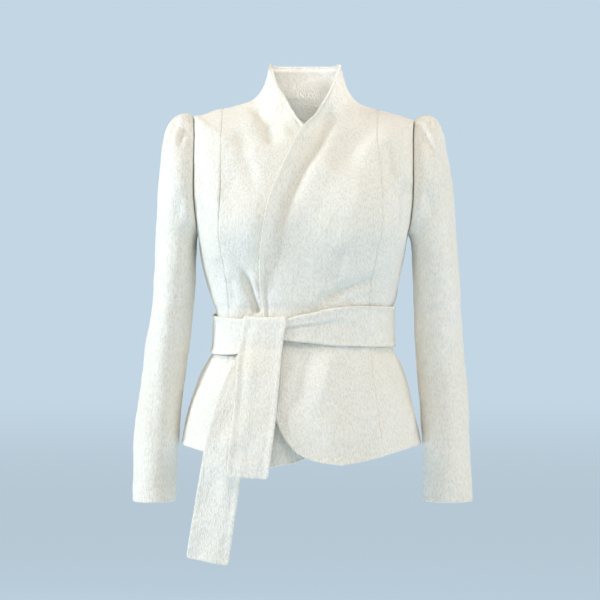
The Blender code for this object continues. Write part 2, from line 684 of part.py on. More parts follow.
class SleeveHead(NamedTuple):
    """A sleeve's seam line as it leaves the armhole, with numbers for each of its points."""

    seam: np.ndarray
    facing: np.ndarray  # -1 on the front half, 1 on the back half
    rise: np.ndarray  # from 0 at the underarm to 1 at the shoulder tip, counted in points
    rise_by_length: np.ndarray
    from_tip: np.ndarray  # metres along the seam from the shoulder tip


def sleeve_head(side):
    """The armhole from the underarm up the front, over the tip and down the back, at twice the points."""
    front, back = (armhole_seam(side, is_front) for is_front in (True, False))
    spots = np.concatenate([front, back[-2:0:-1]])
    corners = cloth(spots[:, 0], spots[:, 1])
    middles = (corners + np.roll(corners, -1, axis=0)) / 2
    seam = np.stack([corners, middles], axis=1).reshape(-1, 3)
    number = np.arange(len(seam))
    tip = len(seam) // 2
    on_front = number <= tip
    lengths = along(np.concatenate([seam, seam[:1]]))
    from_tip = np.abs(lengths[:-1] - lengths[tip])
    half_length = np.where(on_front, lengths[tip], lengths[-1] - lengths[tip])
    rise = np.minimum(number, len(seam) - number) / tip
    return SleeveHead(seam, np.where(on_front, -1.0, 1.0), rise, 1 - from_tip / half_length, from_tip)


def section_ring(head, side, row, share_even):
    """The points of one sleeve section. They are spaced as on the seam, or evenly in the end."""
    z, x_body, x_outer, y_middle, y_half = row
    turn = math.pi * (head.rise * share_even + head.rise_by_length * (1 - share_even))
    x = (x_body + x_outer) / 2 - (x_outer - x_body) / 2 * np.cos(turn)
    y = y_middle + head.facing * y_half * np.sin(turn)
    return np.stack([side * x, y, np.full(len(x), z)], axis=1)


def cap_rings(head, side, first):
    """The puffed head: rings from the seam, out and up over it, down to the first section."""
    up = np.sin(math.pi * head.rise_by_length / 2) ** 2
    start = head.seam + np.array([side * SEAM_GAP, 0.0, 0.0])
    tip = TIP_PULLS[side]
    out = CAP_OUT + (tip.out - CAP_OUT) * up
    forward = head.facing * CAP_FORWARD * np.sin(math.pi * head.rise_by_length)
    leave = np.stack([side * out, forward, CAP_UP * up**2], axis=1)
    down = CAP_DOWN + (tip.down - CAP_DOWN) * up
    arrive = np.stack([side * tip.drift * up, np.zeros(len(up)), -down], axis=1)
    rings = []
    for step in range(SLEEVE_CAP_ROWS):
        s = (step / SLEEVE_CAP_ROWS) ** CAP_ROW_SPACING
        rings.append(
            (2 * s**3 - 3 * s**2 + 1) * start + (s**3 - 2 * s**2 + s) * leave
            + (3 * s**2 - 2 * s**3) * first + (s**3 - s**2) * arrive
        )
    return rings


def tucks(head, outer):
    """How far the tucks lift the sleeve's cloth, highest just beyond the seam."""
    gone = np.linalg.norm(outer - outer[0], axis=2)
    rising = np.sin(math.pi / 2 * gone / TUCK_PEAK)
    fading = np.exp(-(((gone - TUCK_PEAK) / TUCK_FADE) ** 2))
    wave = np.cos(2 * math.pi * head.from_tip / TUCK_PITCH) * (head.from_tip < TUCK_REACH)
    return TUCK_HEIGHT * np.where(gone < TUCK_PEAK, rising, fading) * wave


def build_sleeve(word, side, sections):
    """One sleeve: a tube from the armhole seam over the puffed head and down to the open cuff."""
    head = sleeve_head(side)
    lower = []
    for step in range(SLEEVE_LOWER_ROWS + 1):
        share = step / SLEEVE_LOWER_ROWS
        row = smooth_rows(np.array(sections), share * (len(sections) - 1))
        lower.append(section_ring(head, side, row, share))
    outer = np.stack(cap_rings(head, side, lower[0]) + lower)
    normals = side * grid_normals(outer, tube=True)
    outer = outer + normals * tucks(head, outer)[..., None]
    inner = outer - normals * WALL
    inward = (head.seam.mean(axis=0) - head.seam) * np.array([0.0, 1.0, 1.0])
    inward /= np.linalg.norm(inward, axis=1, keepdims=True)
    inner[0] = outer[0] + inward * WALL
    wall_object(f"{word}_sleeve", outer, inner, tube=True)


def before_body(x, z, lift):
    """Points lifted off the smooth front at x and z. Below the hem they hang straight down from it."""
    hem_level = np.zeros(x.shape)
    hem_z = figure(angle_at(x, hem_level), hem_level)[..., 2]
    on_cloth = np.maximum(z, hem_z)
    angle, level = on_body(x, on_cloth)
    points = cloth_without_folds(angle, level, lift)
    points[..., 2] += z - on_cloth
    return points


def strip_points(rows, facing):
    """The middle of a belt end: rows across, lifted off the body cloth or hung flat before it."""
    x_left, z_left, x_right, z_right, lift, flat = (column[:, None] for column in np.asarray(rows).T)
    share = np.linspace(0, 1, STRIP_COLUMNS + 1)[None, :]
    x = x_left * (1 - share) + x_right * share
    z = z_left * (1 - share) + z_right * share
    points = before_body(x, z, np.broadcast_to(lift, x.shape))
    slope = math.tan(facing)
    reach_x, reach_z = np.broadcast_arrays(np.linspace(*HANG_REACH, HANG_SAMPLES), z.mean(axis=1)[:, None])
    body = before_body(reach_x, reach_z, np.zeros(reach_x.shape))
    foremost = np.min(body[..., 1] + slope * body[..., 0], axis=1, keepdims=True)
    flat_y = foremost - slope * x - lift
    points[..., 0] += flat * (x - points[..., 0])
    points[..., 1] += flat * (flat_y - points[..., 1])
    return points


def build_strip(name, rows, facing):
    """A belt end as a closed strip of the belt's thickness."""
    middle = strip_points(rows, facing)
    normals = grid_normals(middle)
    return wall_object(name, middle + normals * BELT_WALL / 2, middle - normals * BELT_WALL / 2)


def strip_rows(rows, count):
    """A belt end's table read at more rows."""
    return smooth_rows(np.array(rows), np.linspace(0, len(rows) - 1, count + 1))


def build_band():
    """The band round the waist. It stands off the cloth where the upper end passes behind it."""
    turns = np.radians(np.linspace(0, 360, BAND_COLUMNS, endpoint=False))
    table = np.array(BAND)
    marks = np.interp(np.degrees(turns), table[:, 0], np.arange(len(table)))
    z_middle, band_half = (column[:, None] for column in smooth_rows(table[:, 1:], marks).T)
    z = z_middle + band_half * np.linspace(-1, 1, BAND_ROWS + 1)
    angle = np.broadcast_to(turns[:, None], z.shape)
    level = level_at(angle, z)
    x = figure(angle, level)[..., 0]
    near = 1 - smooth_step(np.abs(x - KNOT_X), KNOT_HALF, KNOT_HALF + KNOT_EASE)
    lift = BELT_LIFT + KNOT_LIFT * near * (np.sin(angle) > 0)
    inner = cloth_without_folds(angle, level, lift)
    outer = cloth_without_folds(angle, level, lift + BELT_WALL)
    wall_object("belt_band", outer, inner, ring=True)


def build_belt_ends():
    """The upper end, from behind the band over its top and down in front, and the lower end below it."""
    front = strip_rows(UPPER_END, UPPER_END_ROWS)
    back = strip_rows(BACK_LEG, BACK_LEG_ROWS)
    roll = []
    for step in range(1, ROLL_ROWS):
        part = step / ROLL_ROWS
        over = StripRow(*(back[-1] * (1 - part) + front[0] * part))
        z = FOLD_Z + ROLL_RADIUS * math.sin(math.pi * part)
        lift = BAND_KNOT_LIFT - ROLL_RADIUS * math.cos(math.pi * part)
        roll.append(over._replace(z_left=z, z_right=z, lift=lift))
    build_strip("belt_upper_end", np.concatenate([back, roll, front]), UPPER_END_FACING)
    build_strip("belt_lower_end", strip_rows(LOWER_END, LOWER_END_ROWS), LOWER_END_FACING)


def main():
    """Clears the scene and makes every piece."""
    for thing in list(bpy.data.objects):
        bpy.data.objects.remove(thing, do_unlink=True)
    build_body()
    build_sleeve("left", 1, LEFT_SLEEVE)
    build_sleeve("right", -1, RIGHT_SLEEVE)
    build_band()
    build_belt_ends()


if __name__ == "__main__":
    main()
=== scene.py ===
"""Looks of the ivory felted-wool wrap blazer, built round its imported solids, in metres with +Z up.

The front faces -Y and the wearer's left is +X. Every cut piece is a thin shell of cloth on its solid's form,
with rolled free edges, seams sunk in the ditch, soft creases and a fine crepe grain. A place on the body
cloth is an angle round the figure (0 at the wearer's left side, a quarter turn at the front) and a level (the
number of a ring in a short table, with shares of one between two rings).
"""

import json
import logging
import math
from collections.abc import Callable
from dataclasses import dataclass, field
from enum import Enum
from typing import NamedTuple

import bmesh
import bpy
import numpy as np
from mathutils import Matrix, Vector

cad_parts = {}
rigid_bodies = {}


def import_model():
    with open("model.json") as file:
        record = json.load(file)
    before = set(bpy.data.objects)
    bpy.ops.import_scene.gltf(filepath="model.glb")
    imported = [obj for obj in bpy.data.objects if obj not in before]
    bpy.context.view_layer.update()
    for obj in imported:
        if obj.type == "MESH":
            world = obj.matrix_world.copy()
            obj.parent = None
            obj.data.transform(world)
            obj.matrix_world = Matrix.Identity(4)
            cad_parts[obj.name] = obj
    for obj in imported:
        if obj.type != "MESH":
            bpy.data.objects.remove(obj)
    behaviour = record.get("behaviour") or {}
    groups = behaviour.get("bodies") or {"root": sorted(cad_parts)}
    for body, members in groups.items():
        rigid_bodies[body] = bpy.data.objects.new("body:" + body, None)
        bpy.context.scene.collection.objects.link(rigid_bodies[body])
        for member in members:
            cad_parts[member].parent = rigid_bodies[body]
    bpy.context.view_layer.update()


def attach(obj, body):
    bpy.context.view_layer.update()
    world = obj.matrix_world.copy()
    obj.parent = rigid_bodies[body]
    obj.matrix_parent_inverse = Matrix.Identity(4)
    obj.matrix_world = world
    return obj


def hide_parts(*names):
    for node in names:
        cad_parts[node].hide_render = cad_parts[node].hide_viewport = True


LOG = logging.getLogger("blazer")
BODY = "root"
SEARCH_STEPS = 40  # halvings of a range of levels
LINE_SAMPLES = 400  # points of a finely read seam
SHOULDER_SAMPLES = 60  # and of its last stretch, over the shoulder
WIDTH_SAMPLES = 25  # points across a panel, where its width is measured
CREASE_SAMPLES = 8  # points of a crease for each step of its table
Array = np.ndarray
Colour = tuple[float, float, float]


class Side(Enum):
    """The wearer's side, as the sign of x."""

    LEFT = 1
    RIGHT = -1

    @property
    def word(self) -> str:
        """The side's name, as the pieces use it."""
        return self.name.lower()


class Face(Enum):
    """The front or the back of the garment."""

    FRONT = "front"
    BACK = "back"


class Rim(Enum):
    """How a border of a piece ends, with how far it rounds out as a share of half the cloth's thickness."""

    FREE = 1.0
    SEWN = 0.15


# -------------------------------------------------------- tables of named sizes, the same as the solids'
class Ring(NamedTuple):
    """One level of the body cloth, as a ring round a general figure."""

    name: str
    z_side: float
    z_front: float
    z_back: float
    x_middle: float
    half_width: float
    y_front: float
    y_back: float
    square: float
    lean: float
    droop: float


RINGS = (
    #    name             z_side   z_front   z_back  x_middle  half_w   y_front  y_back  square  lean  droop
    Ring("hem",           -0.5735, -0.6035, -0.5850, -0.0040, 0.1980, -0.1650, 0.1500, 2.20, 0.000, 3.0),
    Ring("flare",         -0.5190, -0.5340, -0.5250, -0.0040, 0.1865, -0.1530, 0.1390, 2.20, 0.000, 3.0),
    Ring("hip",           -0.4700, -0.4750, -0.4730, -0.0020, 0.1720, -0.1390, 0.1220, 2.25, 0.000, 2.5),
    Ring("skirt top",     -0.4360, -0.4380, -0.4370, 0.0000, 0.1575, -0.1250, 0.1030, 2.30, 0.000, 2.0),
    Ring("belt bottom",   -0.4180, -0.4180, -0.4180, 0.0005, 0.1475, -0.1170, 0.0890, 2.35, 0.000, 2.0),
    Ring("waist",         -0.3860, -0.3860, -0.3860, 0.0010, 0.1452, -0.1140, 0.0835, 2.40, 0.000, 2.0),
    Ring("belt top",      -0.3540, -0.3540, -0.3540, 0.0008, 0.1462, -0.1145, 0.0850, 2.40, 0.000, 2.0),
    Ring("over the belt", -0.3370, -0.3370, -0.3370, 0.0005, 0.1520, -0.1190, 0.0905, 2.40, 0.000, 2.0),
    Ring("ribs",          -0.3040, -0.3040, -0.3040, -0.0005, 0.1585, -0.1240, 0.0960, 2.60, 0.000, 2.0),
    Ring("under bust",    -0.2650, -0.2620, -0.2640, -0.0010, 0.1665, -0.1310, 0.1050, 2.85, 0.000, 2.0),
    Ring("underarm",      -0.2290, -0.2220, -0.2260, 0.0000, 0.1725, -0.1350, 0.1110, 3.00, 0.000, 2.0),
    Ring("chest",         -0.1600, -0.1780, -0.1640, 0.0000, 0.1880, -0.1300, 0.1150, 2.75, 0.000, 2.0),
    Ring("upper chest",   -0.0930, -0.1400, -0.1070, 0.0000, 0.1905, -0.1210, 0.1140, 2.40, 0.010, 2.0),
    Ring("shoulder tip",  -0.0385, -0.1100, -0.0680, -0.0005, 0.1810, -0.1100, 0.1050, 2.20, 0.0245, 2.0),
    Ring("outer shoulder", -0.0355, -0.1020, -0.0560, 0.0000, 0.1690, -0.1060, 0.1000, 2.15, 0.0200, 2.0),
    Ring("mid shoulder",  -0.0280, -0.0890, -0.0450, 0.0010, 0.1490, -0.0990, 0.0920, 2.10, 0.018, 2.0),
    Ring("inner shoulder", -0.0190, -0.0710, -0.0260, 0.0010, 0.1150, -0.0900, 0.0790, 2.05, 0.014, 2.0),
    Ring("neck",          -0.0095, -0.0560, -0.0090, 0.0020, 0.0875, -0.0810, 0.0680, 2.00, 0.005, 2.0),
    Ring("collar low",    0.0070, -0.0400, 0.0100, 0.0025, 0.0725, -0.0770, 0.0620, 2.00, 0.000, 2.0),
    Ring("collar middle", 0.0300, -0.0160, 0.0330, 0.0025, 0.0637, -0.0712, 0.0575, 2.05, 0.000, 2.0),
    Ring("collar high",   0.0440, 0.0010, 0.0460, 0.0025, 0.0594, -0.0680, 0.0560, 2.08, 0.000, 2.0),
    Ring("collar top",    0.0516, 0.0130, 0.0540, 0.0025, 0.0548, -0.0640, 0.0537, 2.25, 0.000, 1.6),
)
RING_STEEPEST = 3.0  # no slope of the table is more than this many times a step beside it
LEVEL = {ring.name: number for number, ring in enumerate(RINGS)}
TOP_LEVEL = float(len(RINGS) - 1)
X_MIDDLE, HALF_WIDTH, SQUARE = (Ring._fields[1:].index(word) for word in ("x_middle", "half_width", "square"))


class Place(NamedTuple):
    """A point of a seam or an edge, as seen from the front."""

    x: float
    z: float


LEFT_EDGE = (
    Place(0.0578, -0.5990), Place(0.0150, -0.5922), Place(-0.0182, -0.5742), Place(-0.0436, -0.5332),
    Place(-0.0549, -0.4799), Place(-0.0617, -0.4166), Place(-0.0665, -0.3558), Place(-0.0711, -0.3062),
    Place(-0.0677, -0.2426), Place(-0.0527, -0.1641), Place(-0.0185, -0.0853), Place(0.0031, -0.0513),
    Place(0.0186, -0.0346), Place(0.0420, 0.0044), Place(0.0527, 0.0260), Place(0.0590, 0.0440),
)
PRINCESS_FRONT = {
    Side.LEFT: (
        Place(0.1280, -0.5880), Place(0.1180, -0.5100), Place(0.1080, -0.4200), Place(0.1060, -0.3520),
        Place(0.1096, -0.3046), Place(0.1223, -0.2183), Place(0.1235, -0.1392), Place(0.1195, -0.0700),
    ),
    Side.RIGHT: (
        Place(0.1380, -0.5880), Place(0.1300, -0.5100), Place(0.1200, -0.4200), Place(0.1210, -0.3520),
        Place(0.1300, -0.2884), Place(0.1352, -0.2183), Place(0.1345, -0.1392), Place(0.1335, -0.0700),
    ),
}
PRINCESS_BACK = (
    Place(0.1060, -0.5840), Place(0.0960, -0.5100), Place(0.0820, -0.4200), Place(0.0810, -0.3520),
    Place(0.0880, -0.2900), Place(0.1050, -0.2000), Place(0.1180, -0.1200), Place(0.1230, -0.0600),
)
PRINCESS_TOP_X = {Side.LEFT: 0.1213, Side.RIGHT: 0.1295}
COLLAR_CORNER_TURN = math.radians(14)  # from the side to a front's collar corner
COLLAR_X_MIDDLE = 0.0025  # the right front's edge is the left one's, mirrored about this x
ARMHOLE_TURN = math.radians(24)  # how far the armhole swings from the side
EDGE_BY_SHOULDER_Z = -0.082  # the height of the free edge level with the shoulder seam's start
EDGE_BY_NECK_Z = -0.038  # and with its end
LAP_DEPTH = 0.0066  # how deep the right front lies under the left one
LAP_TURN = (math.radians(44), math.radians(60))  # from the wearer's right, where it sinks
LAP_FALL = 0.0120  # how much deeper it hangs by the hem
LAP_FALL_Z = (-0.480, -0.585)

# Rows of the fine grids between the marks of the seams.
BODY_MARKS = (
    ("hip", 30), ("skirt top", 11), ("belt bottom", 6), ("belt top", 20), ("underarm", 40),
)
ARMHOLE_ROWS, SHOULDER_ROWS, COLLAR_ROWS = 64, 18, 24


class Mound(NamedTuple):
    """A soft rise of the body cloth, seen from the front."""

    x: float
    z: float
    radius: float
    height: float


BUST = (Mound(0.088, -0.205, 0.055, 0.010), Mound(-0.088, -0.205, 0.055, 0.010))


class Crease(NamedTuple):
    """A soft trough (depth below zero) or ridge, along points seen from the front."""

    face: Face
    points: tuple[tuple[float, float], ...]
    width: float
    depth: float
    skew: float = 0.0  # above 0 widens the side to the right of its run, and narrows the other
    ends: tuple[float, float] = (0.25, 0.30)  # shares of its run over which it fades in and out


FRONT, BACK = Face.FRONT, Face.BACK
BODY_CREASES = (
    # the roll beside the left front's edge, and the bust ridge next to it
    Crease(FRONT, ((0.044, -0.012), (0.028, -0.070), (-0.002, -0.122), (-0.027, -0.174), (-0.044, -0.226),
                   (-0.051, -0.280), (-0.051, -0.345)), 0.0135, -0.0125, 0.25, (0.08, 0.45)),
    Crease(FRONT, ((0.046, -0.096), (0.014, -0.152), (-0.010, -0.212)), 0.020, 0.0030),
    # the pull from the neck to the bust, and the drags beside both armholes
    Crease(FRONT, ((0.118, -0.028), (0.106, -0.049), (0.080, -0.088), (0.056, -0.140)), 0.021, -0.0088, 0.15),
    Crease(FRONT, ((0.136, -0.078), (0.140, -0.150)), 0.0070, -0.0052),
    Crease(FRONT, ((0.153, -0.090), (0.161, -0.160)), 0.0070, 0.0043),
    Crease(FRONT, ((0.170, -0.140), (0.162, -0.200), (0.157, -0.240)), 0.0070, -0.0058),
    Crease(FRONT, ((-0.166, -0.100), (-0.162, -0.190), (-0.155, -0.250)), 0.0070, -0.0049),
    # pulls above the belt
    Crease(FRONT, ((0.016, -0.349), (0.062, -0.322), (0.128, -0.298)), 0.0100, -0.0096, 0.20),
    Crease(FRONT, ((0.060, -0.346), (0.116, -0.325)), 0.0080, -0.0038),
    Crease(FRONT, ((0.060, -0.250), (0.044, -0.325)), 0.0110, -0.0032),
    Crease(FRONT, ((-0.103, -0.280), (-0.090, -0.322), (-0.076, -0.362)), 0.0065, -0.0104,
           -0.25, (0.40, 0.08)),
    Crease(FRONT, ((-0.088, -0.290), (-0.072, -0.352)), 0.0070, 0.0035, 0.0, (0.40, 0.10)),
    Crease(FRONT, ((-0.122, -0.300), (-0.108, -0.350)), 0.0080, -0.0035),
    Crease(FRONT, ((-0.137, -0.262), (-0.120, -0.322)), 0.0100, -0.0032),
    # the roll of the right front's collar, and the pull below it
    Crease(FRONT, ((-0.080, -0.010), (-0.064, -0.048), (-0.040, -0.090)), 0.0130, -0.0090, -0.30),
    Crease(FRONT, ((-0.062, -0.004), (-0.040, -0.048), (-0.020, -0.078)), 0.0100, 0.0032),
    Crease(FRONT, ((-0.112, -0.040), (-0.094, -0.100), (-0.084, -0.160)), 0.0130, -0.0043),
    # the flare below the belt
    Crease(FRONT, ((0.006, -0.410), (-0.006, -0.470), (-0.014, -0.520)), 0.0130, -0.0061),
    Crease(FRONT, ((0.040, -0.420), (0.030, -0.500)), 0.0130, 0.0035),
    Crease(FRONT, ((0.068, -0.425), (0.076, -0.560)), 0.0170, -0.0043),
    Crease(FRONT, ((-0.128, -0.430), (-0.150, -0.560)), 0.0150, -0.0043),
    # the back: across the shoulders, and pulls into the belt
    Crease(BACK, ((0.070, -0.078), (0.000, -0.086), (-0.070, -0.078)), 0.0160, -0.0030),
    Crease(BACK, ((0.014, -0.346), (0.052, -0.322), (0.098, -0.302)), 0.0110, -0.0050),
    Crease(BACK, ((-0.014, -0.346), (-0.050, -0.320), (-0.096, -0.304)), 0.0110, -0.0046),
    Crease(BACK, ((0.030, -0.318), (0.078, -0.282)), 0.0100, -0.0026),
    Crease(BACK, ((-0.034, -0.312), (-0.084, -0.276)), 0.0100, -0.0028),
    Crease(BACK, ((0.112, -0.140), (0.094, -0.210)), 0.0120, -0.0030),
    Crease(BACK, ((-0.112, -0.132), (-0.092, -0.204)), 0.0120, -0.0032),
    Crease(BACK, ((0.042, -0.425), (0.056, -0.560)), 0.0160, -0.0032),
    Crease(BACK, ((-0.046, -0.425), (-0.062, -0.560)), 0.0160, -0.0032),
    Crease(BACK, ((0.000, -0.425), (-0.003, -0.540)), 0.0150, 0.0022),
)


class SleeveSection(NamedTuple):
    """One level of a sleeve, with x counted away from the body."""

    z: float
    x_body: float
    x_outer: float
    y_middle: float
    y_half: float


SLEEVE_SECTIONS = {
    Side.LEFT: (
        SleeveSection(-0.2620, 0.1805, 0.2560, 0.000, 0.0600),
        SleeveSection(-0.3366, 0.1820, 0.2600, 0.002, 0.0570),
        SleeveSection(-0.4190, 0.1856, 0.2650, 0.002, 0.0530),
        SleeveSection(-0.5016, 0.1906, 0.2714, -0.004, 0.0490),
        SleeveSection(-0.5840, 0.1968, 0.2740, -0.014, 0.0460),
        SleeveSection(-0.6665, 0.1965, 0.2765, -0.026, 0.0440),
    ),
    Side.RIGHT: (
        SleeveSection(-0.2620, 0.1775, 0.2440, 0.000, 0.0600),
        SleeveSection(-0.3366, 0.1807, 0.2483, 0.002, 0.0570),
        SleeveSection(-0.4190, 0.1890, 0.2615, 0.002, 0.0530),
        SleeveSection(-0.5016, 0.1988, 0.2714, -0.004, 0.0490),
        SleeveSection(-0.5840, 0.2054, 0.2780, -0.014, 0.0460),
        SleeveSection(-0.6665, 0.2085, 0.2812, -0.026, 0.0440),
    ),
}


class TipPull(NamedTuple):
    """How strongly the top of a sleeve head leaves the seam, and meets the tube outwards and down."""

    out: float
    drift: float
    down: float


TIP_PULLS = {Side.LEFT: TipPull(0.162, 0.0735, 0.670), Side.RIGHT: TipPull(0.198, 0.0240, 0.430)}


class Tuck(NamedTuple):
    """One tuck of a sleeve head, running away from the armhole seam."""

    from_tip: float  # metres along the seam from the shoulder tip, below 0 on the front
    lean: float  # how far it drifts along the seam for each metre away from it
    width: float
    depth: float
    reach: float


TUCKS = {
    Side.LEFT: (
        Tuck(-0.006, -0.10, 0.0034, 0.0030, 0.030), Tuck(-0.018, -0.25, 0.0038, 0.0042, 0.046),
        Tuck(-0.032, -0.35, 0.0036, 0.0040, 0.042), Tuck(-0.046, -0.30, 0.0034, 0.0030, 0.030),
        Tuck(-0.060, -0.20, 0.0034, 0.0020, 0.022), Tuck(0.006, 0.10, 0.0034, 0.0030, 0.034),
        Tuck(0.019, 0.25, 0.0038, 0.0040, 0.044), Tuck(0.033, 0.35, 0.0036, 0.0036, 0.040),
        Tuck(0.047, 0.25, 0.0034, 0.0028, 0.028),
    ),
    Side.RIGHT: (
        Tuck(-0.004, -0.10, 0.0034, 0.0032, 0.034), Tuck(-0.016, -0.20, 0.0040, 0.0046, 0.040),
        Tuck(-0.031, -0.30, 0.0038, 0.0044, 0.046), Tuck(-0.045, -0.35, 0.0034, 0.0032, 0.032),
        Tuck(-0.058, -0.20, 0.0034, 0.0022, 0.022), Tuck(0.008, 0.10, 0.0034, 0.0030, 0.032),
        Tuck(0.020, 0.25, 0.0038, 0.0040, 0.042), Tuck(0.034, 0.30, 0.0036, 0.0034, 0.038),
        Tuck(0.048, 0.25, 0.0034, 0.0028, 0.028),
    ),
}
SLEEVE_CREASES = {
    Side.LEFT: (
        # the tucks of the head, as they fan out from the seam
        Crease(FRONT, ((0.202, -0.038), (0.217, -0.061), (0.226, -0.084)), 0.0042, -0.0052,
               0.3, (0.20, 0.45)),
        Crease(FRONT, ((0.188, -0.046), (0.202, -0.073), (0.211, -0.092), (0.214, -0.116)), 0.0048, -0.0060,
               0.3, (0.18, 0.45)),
        Crease(FRONT, ((0.185, -0.056), (0.194, -0.076), (0.199, -0.096)), 0.0036, -0.0034,
               0.0, (0.15, 0.50)),
        Crease(FRONT, ((0.196, -0.048), (0.210, -0.074), (0.220, -0.096)), 0.0044, 0.0024),
        Crease(FRONT, ((0.230, -0.058), (0.238, -0.090)), 0.0050, 0.0018),
        # the arm
        Crease(FRONT, ((0.196, -0.150), (0.214, -0.215)), 0.0090, -0.0030),
        Crease(FRONT, ((0.252, -0.330), (0.222, -0.352), (0.196, -0.362)), 0.0080, -0.0026),
        Crease(FRONT, ((0.254, -0.372), (0.224, -0.386)), 0.0080, -0.0020),
        Crease(FRONT, ((0.236, -0.420), (0.242, -0.600)), 0.0110, 0.0018),
        Crease(BACK, ((0.190, -0.315), (0.232, -0.335)), 0.0090, -0.0028),
        Crease(BACK, ((0.240, -0.350), (0.196, -0.372)), 0.0090, -0.0026),
        Crease(BACK, ((0.200, -0.420), (0.246, -0.440)), 0.0100, -0.0020),
    ),
    Side.RIGHT: (
        # the head's top fold lies over, and the tucks run down from under it
        Crease(FRONT, ((-0.180, -0.0520), (-0.192, -0.0500), (-0.208, -0.0530)), 0.0030, -0.0058,
               0.0, (0.05, 0.30)),
        Crease(FRONT, ((-0.184, -0.0410), (-0.196, -0.0400), (-0.208, -0.0440)), 0.0060, 0.0030),
        Crease(FRONT, ((-0.206, -0.040), (-0.217, -0.064), (-0.222, -0.094)), 0.0048, -0.0062,
               -0.3, (0.15, 0.45)),
        Crease(FRONT, ((-0.193, -0.052), (-0.199, -0.073), (-0.202, -0.092)), 0.0042, -0.0046,
               0.0, (0.12, 0.50)),
        Crease(FRONT, ((-0.187, -0.054), (-0.190, -0.078)), 0.0030, -0.0026, 0.0, (0.12, 0.50)),
        Crease(FRONT, ((-0.210, -0.056), (-0.211, -0.092)), 0.0046, 0.0026),
        # the arm
        Crease(FRONT, ((-0.194, -0.150), (-0.208, -0.220)), 0.0090, -0.0030),
        Crease(FRONT, ((-0.244, -0.326), (-0.214, -0.348), (-0.192, -0.356)), 0.0080, -0.0026),
        Crease(FRONT, ((-0.246, -0.366), (-0.218, -0.384)), 0.0080, -0.0020),
        Crease(FRONT, ((-0.226, -0.300), (-0.232, -0.600)), 0.0120, 0.0018),
        Crease(BACK, ((-0.190, -0.310), (-0.230, -0.332)), 0.0090, -0.0028),
        Crease(BACK, ((-0.236, -0.350), (-0.194, -0.370)), 0.0090, -0.0026),
        Crease(BACK, ((-0.204, -0.425), (-0.250, -0.442)), 0.0100, -0.0020),
    ),
}


class StripRow(NamedTuple):
    """One crosswise row of a belt end, seen from the front."""

    x_left: float
    z_left: float
    x_right: float
    z_right: float
    lift: float
    flat: float


class EndFold(NamedTuple):
    """A soft ridge (height above zero) or trough that runs down a belt end."""

    share: float  # its place across the end
    width: float
    height: float
    starts: tuple[float, float] | None = None  # metres down the end over which it fades in
    stops: tuple[float, float] | None = None  # and out


class BandMark(NamedTuple):
    """The belt band at one place round the waist."""

    turn: float  # degrees round the figure
    z_middle: float
    half_width: float


class BandDent(NamedTuple):
    """A soft dent in the band."""

    turn: float
    across: float  # from -1 at the band's lower edge to 1 at its upper edge
    depth: float


# -------------------------------------------------------- smooth lines through short tables
def curve(start: Array, leave: Array, end: Array, arrive: Array, share: Array) -> Array:
    """A smooth (Hermite) line between two places.

    Args:
        start: the first place.
        leave: the direction in which the line leaves it.
        end: the second place.
        arrive: the direction in which the line meets it.
        share: how far along to read it, from 0 to 1.

    Returns:
        The line there.
    """
    return (
        (2 * share**3 - 3 * share**2 + 1) * start
        + (share**3 - 2 * share**2 + share) * leave
        + (3 * share**2 - 2 * share**3) * end
        + (share**3 - share**2) * arrive
    )


def smooth_rows(rows: Array, where: Array | float, steepest: float | None = None) -> Array:
    """Reads rows of numbers as a smooth (Catmull-Rom) line.

    Args:
        rows: the table, one row for each whole number.
        where: row numbers, with shares between two rows.
        steepest: where given, no slope at a row is more than this many times the step to either neighbour.

    Returns:
        The numbers at each place, in the last axis.
    """
    rows = np.asarray(rows, float)
    steps = np.diff(rows, axis=0)
    below, above = np.concatenate([steps[:1], steps]), np.concatenate([steps, steps[-1:]])
    slopes = (below + above) / 2
    if steepest is not None:
        most = steepest * np.minimum(np.abs(below), np.abs(above))
        slopes = np.clip(slopes, -most, most)
    last = len(rows) - 1
    where = np.clip(np.asarray(where, float), 0.0, last)
    first = np.minimum(where.astype(int), last - 1)
    return curve(rows[first], slopes[first], rows[first + 1], slopes[first + 1], (where - first)[..., None])


def search(lies_above: Callable[[Array], Array], low: Array, high: Array) -> Array:
    """Finds levels by halving their ranges.

    Args:
        lies_above: tells whether what is looked for lies above a level.
        low: where each range starts.
        high: where it ends.

    Returns:
        The levels.
    """
    for _ in range(SEARCH_STEPS):
        level = (low + high) / 2
        up = lies_above(level)
        low, high = np.where(up, level, low), np.where(up, high, level)
    return level


def smooth_step(value: Array, start: float, end: float) -> Array:
    """0 before start, 1 after end, and an S between."""
    share = np.clip((np.asarray(value, float) - start) / (end - start), 0.0, 1.0)
    return share * share * (3 - 2 * share)


def hump(value: Array, middle: float, width: float) -> Array:
    """A soft hump of height 1 about a middle."""
    return np.exp(-(((value - middle) / width) ** 2))


def along(points: Array) -> Array:
    """The length of a polyline up to each of its points."""
    steps = np.linalg.norm(np.diff(points, axis=0), axis=-1)
    return np.concatenate([np.zeros((1, *steps.shape[1:])), np.cumsum(steps, axis=0)])


def unit(ways: Array) -> Array:
    """Directions of length one."""
    return ways / np.maximum(np.linalg.norm(ways, axis=-1, keepdims=True), 1e-12)


